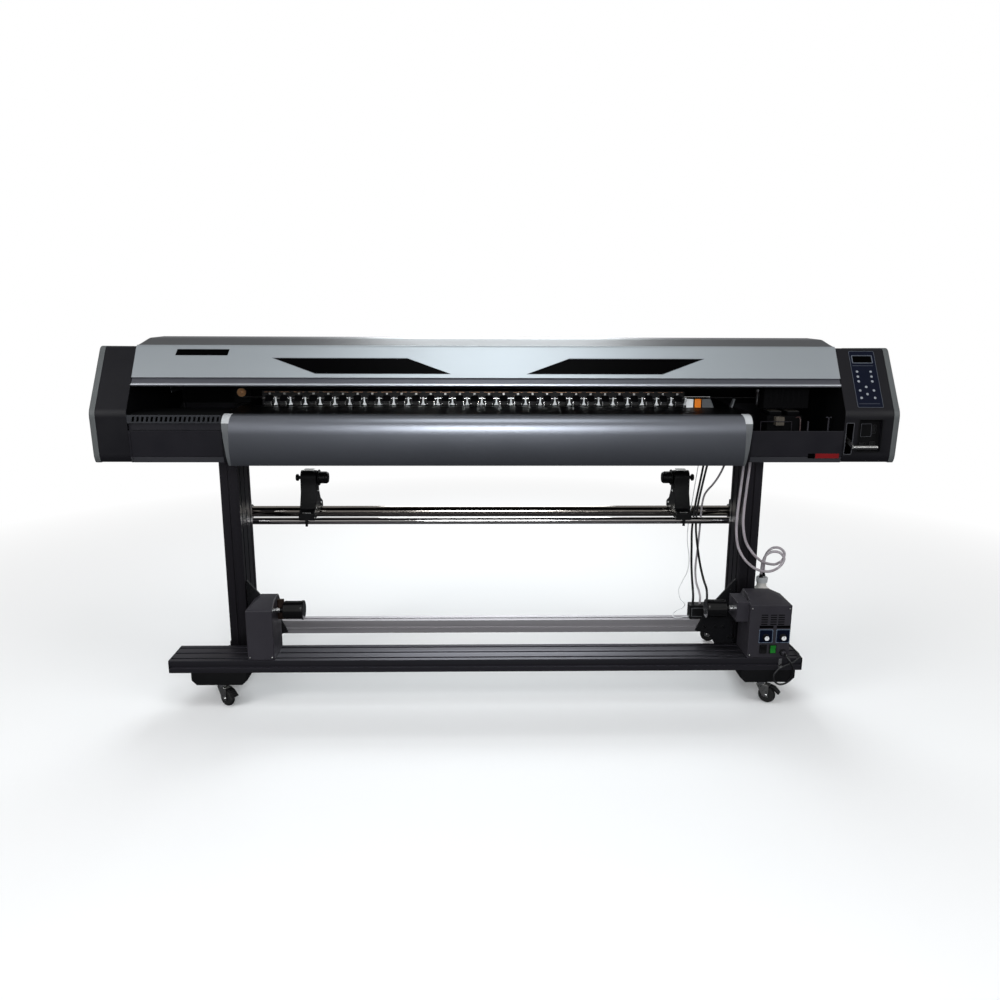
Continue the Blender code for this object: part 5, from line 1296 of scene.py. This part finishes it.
def legs():
    """Legs with their outer arms, brackets and head plates, and the feet with their caps and bolts."""
    for side, x in LEGS.items():
        refined(f"{side}_leg", "leg", 0.0006)
        outward = math.copysign(1, x)
        outer = arm_face(x) + outward * ARM_THICKNESS
        wall = "left" if outward < 0 else "right"
        arm = [(-0.0206, 0.5094), (LEG_BACK + 0.0104, 0.5094), (0.3008, 0.5646), (0.3008, 0.6406),
               (-0.0206, 0.6406)]
        extruded(f"{side}_leg_arm", arm, *sorted((arm_face(x) + outward * 0.0009, outer + outward * 0.0006)),
                 "foot",
                 bevel=0.0012)
        places = [facing(wall, outer + outward * 0.0006, y, z)
                  for y, z in ((0.0, 0.540), (0.0, 0.620), (0.045, 0.540), (0.045, 0.620), (0.120, 0.595),
                               (0.260, 0.600))]
        bolts(f"{side}_arm_bolts", places, 0.005)
        flange = bmesh.new()
        for sign in (-1, 1):
            x0 = x + sign * 0.0335
            box(flange, (min(x0, x0 + sign * 0.022), LEG_FRONT + 0.005, FOOT_TOP + GAP),
                (max(x0, x0 + sign * 0.022), LEG_FRONT + 0.045, FOOT_TOP + 0.0060))
            box(flange, (min(x0, x0 + sign * 0.005), LEG_FRONT + 0.005, FOOT_TOP + GAP),
                (max(x0, x0 + sign * 0.005), LEG_FRONT + 0.045, FOOT_TOP + 0.0380))
        piece(f"{side}_leg_brackets", flange, "foot", bevel=0.0008)
        places = [facing("top", x + sign * 0.0475, LEG_FRONT + 0.025, FOOT_TOP + 0.0060) for sign in (-1, 1)]
        bolts(f"{side}_foot_bolts", places, 0.005)
        plate = bmesh.new()
        prism(plate, rectangle(0.130, 0.200, 0.010), -0.0050, -GAP, facing("top", x, 0.0, BODY_BOTTOM))
        piece(f"{side}_head_plate", plate, "foot", bevel=0.0008)
    for side, x in FEET.items():
        refined(f"{side}_foot", "foot", 0.0014, 3)
        cap = bmesh.new()
        place = facing("front", x, BEAM_FRONT + 0.0040, (FOOT_BOTTOM + FOOT_TOP) / 2 + 0.002)
        prism(cap, [(-0.081, -0.0235), (0.081, -0.0235), (0.0985, -0.0060), (0.0985, 0.0235),
                    (-0.0985, 0.0235),
                    (-0.0985, -0.0060)], 0.0, 0.0030, place)
        piece(f"{side}_foot_cap", cap, "black", bevel=0.0010)
        plates = [facing("top", LEGS[side] + dx, 0.310 + dy, FOOT_TOP - 0.001)
                  for dx in (-0.020, 0.020) for dy in (-0.022, 0.022)]
        bolts(f"{side}_foot_top_bolts", plates, 0.0045)
        end_plate = prism(bmesh.new(), rectangle(0.0670, 0.0470, 0.003), -0.0012, 0.0,
                          facing("back", LEGS[side], HALF_DEPTH, (FOOT_BOTTOM + FOOT_TOP) / 2 + 0.002))
        piece(f"{side}_foot_end", end_plate, "black", bevel=0.0005)


def beams():
    """Cross beam with black gussets, the take-up beam with its end plates, and the media bars."""
    refined("cross_beam", "aluminium", 0.0005)
    left, right = LEGS["left"] + 0.033 + GAP, LEGS["right"] - 0.033 - GAP
    front = -0.070
    heads = []
    for side, edge, inward in (("left", left, 1), ("right", right, -1)):
        grow = 0.0006
        shape = [(edge, FOOT_TOP + 0.0016), (edge, 0.4160), (edge + inward * (0.110 + grow), 0.2815),
                 (edge + inward * (0.145 + grow), 0.2050), (edge + inward * (0.090 + grow), 0.1922),
                 (edge + inward * (0.060 + grow), FOOT_TOP + 0.0016)]
        plate = prism(bmesh.new(), shape, -0.0024, 0.0096, facing("front", 0, front, 0))
        piece(f"{side}_gusset", plate, "foot", bevel=0.0014)
        heads += [facing("front", edge + inward * a, front - 0.0096, z)
                  for a, z in ((0.016, 0.180), (0.016, 0.370), (0.070, 0.223), (0.112, 0.223),
                               (0.040, 0.223))]
    bolts("gusset_bolts", heads, 0.0055)

    refined("takeup_beam", "beam", 0.0006)
    for side, x in (("left", -1.176), ("right", 1.105)):
        middle = (BEAM_FRONT + BEAM_BACK) / 2, (BEAM_TOP + FOOT_TOP) / 2
        plate = prism(bmesh.new(), rectangle(0.1424, 0.0474, 0.003), -0.0012, 0.0026,
                      facing(side, x, *middle))
        piece(f"{side}_beam_end", plate, "black", bevel=0.0008)
        face = x + math.copysign(0.0026, x)
        heads = [facing(side, face, middle[0] + dy, middle[1]) for dy in (-0.048, 0.0, 0.048)]
        screws(f"{side}_beam_end_screws", heads, "steel", radius=0.0035)
    clamps = bmesh.new()
    heads = []
    for x in FEET.values():
        for dx in (-0.075, 0.075):
            box(clamps, (x + dx - 0.018, BEAM_BACK + 0.0005, FOOT_TOP + GAP),
                (x + dx + 0.018, BEAM_BACK + 0.030, FOOT_TOP + 0.005))
            box(clamps, (x + dx - 0.018, BEAM_BACK + 0.0005, FOOT_TOP + GAP),
                (x + dx + 0.018, BEAM_BACK + 0.0045, BEAM_TOP - 0.006))
            heads.append(facing("top", x + dx, BEAM_BACK + 0.019, FOOT_TOP + 0.005))
    piece("beam_brackets", clamps, "foot", bevel=0.0006)
    bolts("beam_bolts", heads, 0.0045)

    start = arm_face(LEGS["left"]) + GAP
    length = arm_face(LEGS["right"]) - GAP - start
    for name, (y, z, radius, look) in MEDIA_BARS.items():
        turned(f"{name}_tube", [(0, radius - 0.002), (0.002, radius), (length - 0.002, radius),
                                (length, radius - 0.002)], (start, y, z), (1, 0, 0), look, sides=72,
               replaces=(name,))
        for x, way in ((start, 1), (start + length, -1)):
            collar = [(0.0006, radius + 0.0004), (0.0006, radius + 0.007), (0.0120, radius + 0.007),
                      (0.0140, radius + 0.005), (0.0140, radius + 0.0004)]
            label = "left" if way > 0 else "right"
            turned(f"{name}_collar_{label}", collar, (x, y, z), (way, 0, 0), "black", sides=48)


# ---- casters --------------------------------------------------------------------------------
WHEEL_RADIUS, WHEEL_HALF, CASTER_TRAIL, CROWN = 0.031, 0.0095, 0.021, 0.0665
CASTERS = {"front_left": (FEET["left"], -0.258, -35), "front_right": (FEET["right"] - 0.006, -0.258, -35),
           "rear_left": (LEGS["left"], 0.310, 150), "rear_right": (LEGS["right"], 0.310, 150)}


def casters():
    """Fork, treaded wheel with its disc and axle, ball race, and in front a ribbed brake pedal."""
    for spot, (x, y, heading) in CASTERS.items():
        turn = Matrix.Translation((x, y, 0)) @ Matrix.Rotation(math.radians(heading), 4, "Z")
        refined(f"fork_{spot}", "steel", 0.0009)
        hub = turn @ Matrix.Translation((CASTER_TRAIL, 0, WHEEL_RADIUS)) @ Matrix.Rotation(-math.pi / 2, 4,
                                                                                           "X")
        tread = [(-WHEEL_HALF, 0.0185), (-WHEEL_HALF, 0.0272)]
        for k in range(-6, 7):
            along = WHEEL_HALF * k / 6.6
            tread.append((along, WHEEL_RADIUS - 0.0030 * (abs(k) / 6) ** 2.6))
        tread += [(WHEEL_HALF, 0.0272), (WHEEL_HALF, 0.0185)]
        piece(f"tread_{spot}", lathe(bmesh.new(), tread, hub, 56), "rubber", f"wheel_{spot}", 30,
              replaces=(f"wheel_{spot}",))
        disc = [(-WHEEL_HALF - 0.0008, 0.0050), (-WHEEL_HALF - 0.0008, 0.0090),
                (-WHEEL_HALF + 0.0025, 0.0110),
                (-WHEEL_HALF + 0.0025, 0.0165), (-WHEEL_HALF - 0.0004, 0.0184), (WHEEL_HALF + 0.0004, 0.0184),
                (WHEEL_HALF - 0.0025, 0.0165), (WHEEL_HALF - 0.0025, 0.0110), (WHEEL_HALF + 0.0008, 0.0090),
                (WHEEL_HALF + 0.0008, 0.0050)]
        piece(f"wheel_disc_{spot}", lathe(bmesh.new(), disc, hub, 48), "black", f"wheel_{spot}", 30)
        axle = bmesh.new()
        cheek = 0.0150
        lathe(axle, [(-cheek - 0.0030, 0.0035), (-cheek - 0.0026, 0.0048), (-cheek, 0.0048), (-cheek, 0.0030),
                     (cheek, 0.0030), (cheek, 0.0048), (cheek + 0.0026, 0.0048), (cheek + 0.0030, 0.0035)],
              hub, 24)
        piece(f"axle_{spot}", axle, "bright", f"fork_{spot}", 30)
        cover = [(CROWN + 0.0045, 0.0150), (CROWN + 0.0050, 0.0185), (FOOT_BOTTOM - 0.0052, 0.0228),
                 (FOOT_BOTTOM - 0.0030, 0.0232), (FOOT_BOTTOM - 0.0030, 0.0150)]
        piece(f"race_{spot}", lathe(bmesh.new(), cover, turn, 40), "bright", f"fork_{spot}", 30)
        if spot.startswith("front"):
            refined(f"brake_{spot}", "black", 0.0014, 3)
            pads = bmesh.new()
            for k in range(3):
                place = turn @ Matrix.Translation((0.0520 + 0.0056 * k, 0, 0.0640 - 0.0054 * k))
                place = place @ Matrix.Rotation(math.radians(43), 4, "Y")
                prism(pads, rectangle(0.0022, 0.0200), -0.0008, 0.0008, place)
            piece(f"pedal_ribs_{spot}", pads, "rubber", f"brake_{spot}")


# ---- media roll holders ---------------------------------------------------------------------
HOLDER_X, HOLDER_HALF, CORE_AXIS = 0.7445, 0.031, (0.190, 0.756)


def roll_holders():
    """Holders on the media bars with their core chucks, lock knobs, clamps and screws."""
    for side, sign in (("left", -1), ("right", 1)):
        x = sign * HOLDER_X
        refined(f"{side}_roll_holder", "black", 0.0018, 3)
        inner, outer = x - sign * (HOLDER_HALF + GAP), x + sign * (HOLDER_HALF + GAP)
        chuck = [(0.0, 0.0225), (0.0008, 0.0240), (0.0055, 0.0312), (0.0062, 0.0318), (0.0094, 0.0318),
                 (0.0100, 0.0310), (0.0100, 0.0245), (0.0410, 0.0225), (0.0440, 0.0200), (0.0450, 0.0185)]
        turned(f"{side}_chuck", chuck, (inner, *CORE_AXIS), (-sign, 0, 0), "black", f"{side}_chuck", 56,
               (f"{side}_core_chuck",), 30)
        fins = bmesh.new()
        place = aim((inner, *CORE_AXIS), (-sign, 0, 0))
        for k in range(8):
            turn = place @ Matrix.Rotation(2 * math.pi * k / 8, 4, "Z")
            prism(fins, [(0.0200, -0.0012), (0.0243, -0.0012), (0.0243, 0.0012), (0.0200, 0.0012)], 0.0102,
                  0.0380, turn)
        piece(f"{side}_chuck_fins", fins, "black", f"{side}_chuck", bevel=0.0003)
        knob = [(0.0, 0.0070), (0.0100, 0.0070), (0.0108, 0.0115), (0.0125, 0.0130), (0.0190, 0.0130),
                (0.0208, 0.0120), (0.0220, 0.0090), (0.0220, 0.0040)]
        turned(f"{side}_lock", knob, (outer, *CORE_AXIS), (sign, 0, 0), "black", f"{side}_lock", 40,
               (f"{side}_lock_knob",), 35)
        ribs = bmesh.new()
        place = aim((outer, *CORE_AXIS), (sign, 0, 0))
        for k in range(12):
            turn = place @ Matrix.Rotation(2 * math.pi * k / 12, 4, "Z")
            prism(ribs, [(0.0120, -0.0009), (0.0138, -0.0009), (0.0138, 0.0009), (0.0120, 0.0009)], 0.0122,
                  0.0192, turn)
        piece(f"{side}_lock_ribs", ribs, "black", f"{side}_lock", bevel=0.0002)
        lever_work = bmesh.new()
        box(lever_work, (x - 0.0070, 0.0975, 0.5880), (x + 0.0070, 0.1060, 0.6080))
        box(lever_work, (x - 0.0050, 0.0940, 0.5780), (x + 0.0050, 0.0990, 0.6010))
        piece(f"{side}_clamp_lever", lever_work, "black", f"{side}_holder", bevel=0.0012)
        top = bmesh.new()
        box(top, (x - 0.0160, 0.1030, 0.6290), (x + 0.0160, 0.1200, 0.6320))
        box(top, (x - 0.0200, 0.1700, 0.7864), (x + 0.0200, 0.2150, 0.7880))
        piece(f"{side}_holder_slide", top, "steel", f"{side}_holder", bevel=0.0006)
        wall = "left" if sign > 0 else "right"
        heads = [facing(wall, x - sign * HOLDER_HALF, y, z) for y,
                 z in ((0.150, 0.640), (0.250, 0.640), (0.190, 0.700))]
        screws(f"{side}_holder_screws", heads, "steel", f"{side}_holder", 0.0040)


# ---- take-up unit ---------------------------------------------------------------------------
TAKEUP_AXIS = (-0.230, 0.352)
SUPPORT_X, MOTOR_X = (-0.895, -0.800), (0.905, 1.056)
MOTOR_FACE = BEAM_FRONT + 0.003
KNOBS = {"speed": 0.968, "torque": 1.030}
KNOB_Z, ROCKER_Z = 0.266, 0.221


def takeup():
    """Idle support and motor box with their chucks, and the controls on the box's face."""
    refined("takeup_support", "moulding", 0.0030, 4, 60)
    refined("takeup_motor_box", "moulding", 0.0022, 4, 60)
    for name, start, way, node, body in (("idle", SUPPORT_X[1] + GAP, 1, "takeup_idle_chuck", "idle_chuck"),
                                         ("drive", 0.862 - GAP, -1, "takeup_drive_chuck", "drive_chuck")):
        profile = [(0.0, 0.0085), (0.0270, 0.0085), (0.0270, 0.0290), (0.0290, 0.0312), (0.0900, 0.0335),
                   (0.0935, 0.0350), (0.0985, 0.0350), (0.1000, 0.0335), (0.1005, 0.0265)]
        turned(f"{name}_plug", profile, (start, *TAKEUP_AXIS), (way, 0, 0), "sleek", body, 64, (node,), 30)
        fins = bmesh.new()
        for k in range(6):
            turn = aim((start, *TAKEUP_AXIS), (way, 0, 0)) @ Matrix.Rotation(2 * math.pi * k / 6, 4, "Z")
            prism(fins, [(0.0300, -0.0016), (0.0345, -0.0016), (0.0345, 0.0016), (0.0300, 0.0016)], 0.0320,
                  0.0900, turn)
        piece(f"{name}_plug_fins", fins, "sleek", body, bevel=0.0005)
        shaft = [(0.0004, 0.0088), (0.0004, 0.0105), (0.0136, 0.0105), (0.0136, 0.0088)]
        turned(f"{name}_collar", shaft, (start, *TAKEUP_AXIS), (way, 0, 0), "bright", body, 40)
    bracket = bmesh.new()
    box(bracket, (SUPPORT_X[1] + 0.0004, TAKEUP_AXIS[0] + 0.0120, 0.3120),
        (SUPPORT_X[1] + 0.0250, TAKEUP_AXIS[0] + 0.0210, 0.3880))
    piece("idle_bearing_plate", bracket, "brown_steel", "support", bevel=0.0010)

    face = facing("front", 0, MOTOR_FACE, 0)
    vents = bmesh.new()
    low_x, high_x = 0.9500, 1.0420
    for row in range(5):
        z = 0.3500 - 0.0086 * row
        for x, width in ((0.9560, 0.0230), (0.9890, 0.0230), (1.0170, 0.0230)):
            prism(vents, rectangle(width, 0.0042, 0.0012, x + 0.0030, z), 0.0, 0.0005, face)
    piece("motor_vents", vents, "inner")
    strips, panels_, edges = bmesh.new(), bmesh.new(), bmesh.new()
    for x in KNOBS.values():
        prism(strips, rectangle(0.0500, 0.0085, 0.0010, x, 0.3055), 0.0, 0.0006, face)
        prism(panels_, rectangle(0.0470, 0.0480, 0.0015, x, 0.2700), 0.0, 0.0006, face)
        ring_plate(edges, rectangle(0.0492, 0.0502, 0.0020, x, 0.2700),
                   rectangle(0.0466, 0.0476, 0.0014, x, 0.2700),
                   0.0, 0.0009, face)
    piece("control_strips", strips, "gloss")
    piece("control_panels", panels_, "blue")
    piece("control_panel_edges", edges, "pale_blue")
    for label, x in KNOBS.items():
        skirt = [(0.0, 0.0122), (0.0006, 0.0129), (0.0030, 0.0129), (0.0036, 0.0108), (0.0118, 0.0096),
                 (0.0127, 0.0088), (0.0128, 0.0070)]
        centre = (x, MOTOR_FACE - GAP, KNOB_Z)
        turned(f"{label}_dial", skirt, centre, (0, -1, 0), "black", label, 44, (f"{label}_knob",), 30)
        disc = [(0.0122, 0.0086), (0.0130, 0.0084), (0.0132, 0.0078), (0.0132, 0.0020)]
        turned(f"{label}_dial_face", disc, centre, (0, -1, 0), "white", label, 36, smooth=30)
        mark = bmesh.new()
        box(mark, (x - 0.0007, MOTOR_FACE - 0.0142, KNOB_Z + 0.0008),
            (x + 0.0007, MOTOR_FACE - 0.0128, KNOB_Z + 0.0078))
        piece(f"{label}_pointer", mark, "black", label)
        grips = bmesh.new()
        for k in range(20):
            turn = aim(centre, (0, -1, 0)) @ Matrix.Rotation(2 * math.pi * k / 20, 4, "Z")
            prism(grips, [(0.0092, -0.0006), (0.0107, -0.0006), (0.0107, 0.0006), (0.0092, 0.0006)], 0.0036,
                  0.0112, turn)
        piece(f"{label}_dial_grips", grips, "black", label)
    refined("direction_rocker", "black", 0.0006, 3)
    refined("power_rocker", "green", 0.0006, 3)
    frames = bmesh.new()
    for x in (0.961, 0.996):
        ring_plate(frames, rectangle(0.0262, 0.0342, 0.0016, x, ROCKER_Z),
                   rectangle(0.0206, 0.0286, 0.0008, x, ROCKER_Z),
                   0.0, 0.0018, face)
    piece("rocker_frames", frames, "black", bevel=0.0004)
    gland = [(0.0130, 0.0085), (0.0135, 0.0125), (0.0032, 0.0140), (0.0024, 0.0140), (0.0024, 0.0085)]
    turned("cable_gland_nut", sorted(gland), (1.034, MOTOR_FACE + 0.0010, 0.208), (0, -1, 0), "black",
           sides=6, smooth=20)
    heads = [facing("front", x, MOTOR_FACE, z) for x, z in ((0.9130, 0.1960), (1.0480, 0.1960),
                                                            (0.9130, 0.3740), (1.0480, 0.3740))]
    screws("motor_face_screws", heads, "steel", radius=0.0030)
    heads = [facing("front", x, MOTOR_FACE, z) for x, z in ((-0.8870, 0.1960), (-0.8080, 0.1960))]
    screws("support_screws", heads, "steel", "support", 0.0030)
    strap = bmesh.new()
    box(strap, (1.0200, BEAM_FRONT - 0.0016, 0.1500), (1.0320, BEAM_FRONT + 0.0002, 0.1830))
    piece("cable_clip", strap, "bright", bevel=0.0005)


def ink_waste():
    """Milky bottle, its ribbed cap, and the small supply on the cross beam."""
    x, y, radius, floor = 1.030, -0.030, 0.038, FOOT_TOP + GAP
    bottle = [(0.0, radius - 0.0050), (0.0012, radius - 0.0018), (0.0045, radius)]
    for z in (0.060, 0.100, 0.140):
        bottle += [(z, radius), (z + 0.0015, radius - 0.0010), (z + 0.0045, radius - 0.0010),
                   (z + 0.0060, radius)]
    bottle += [(0.2000, radius), (0.2080, 0.0368), (0.2150, 0.0340), (0.2210, 0.0300), (0.2260, 0.0240),
               (0.2310, 0.0192), (0.2360, 0.0182), (0.2470, 0.0182)]
    turned("bottle", bottle, (x, y, floor), (0, 0, 1), "milky", sides=64, replaces=("waste_bottle",))
    cap = [(0.2475, 0.0175), (0.2475, 0.0206), (0.2485, 0.0210), (0.2660, 0.0207), (0.2682, 0.0196),
           (0.2687, 0.0150)]
    turned("bottle_cap", cap, (x, y, floor), (0, 0, 1), "pale", sides=48, smooth=35)
    ribs = bmesh.new()
    for k in range(30):
        turn = Matrix.Translation((x, y, floor)) @ Matrix.Rotation(2 * math.pi * k / 30, 4, "Z")
        prism(ribs, [(0.0200, -0.0008), (0.0214, -0.0008), (0.0214, 0.0008), (0.0200, 0.0008)], 0.2490,
              0.2655, turn)
    piece("bottle_cap_ribs", ribs, "pale")
    for side, spot in (("left", (1.022, -0.040)), ("right", (1.038, -0.018))):
        sleeve = [(0.2690, 0.0054), (0.2690, 0.0078), (0.2700, 0.0082), (0.2730, 0.0082), (0.2745, 0.0066),
                  (0.2830, 0.0062), (0.2830, 0.0054)]
        turned(f"{side}_hose_sleeve", sleeve, (*spot, floor), (0, 0, 1), "black", sides=32, smooth=35)
    refined("power_box", "black", 0.0015, 3)
    lid_line = ring_plate(bmesh.new(), rectangle(0.0700, 0.0360, 0.002), rectangle(0.0660, 0.0320, 0.0015),
                          0.0, 0.0006,
                          facing("front", 0.7885, -0.0655, 0.2755))
    piece("power_box_lid_line", lid_line, "strip")


# ---- the whole machine ----------------------------------------------------------------------
camera()
studio()
end_caps()
lid()
top_cover()
apron()
panels()
platen()
refined("lower_housing", "shell", 0.0010)
mechanism()
right_face()
legs()
beams()
casters()
roll_holders()
takeup()
ink_waste()
cords()
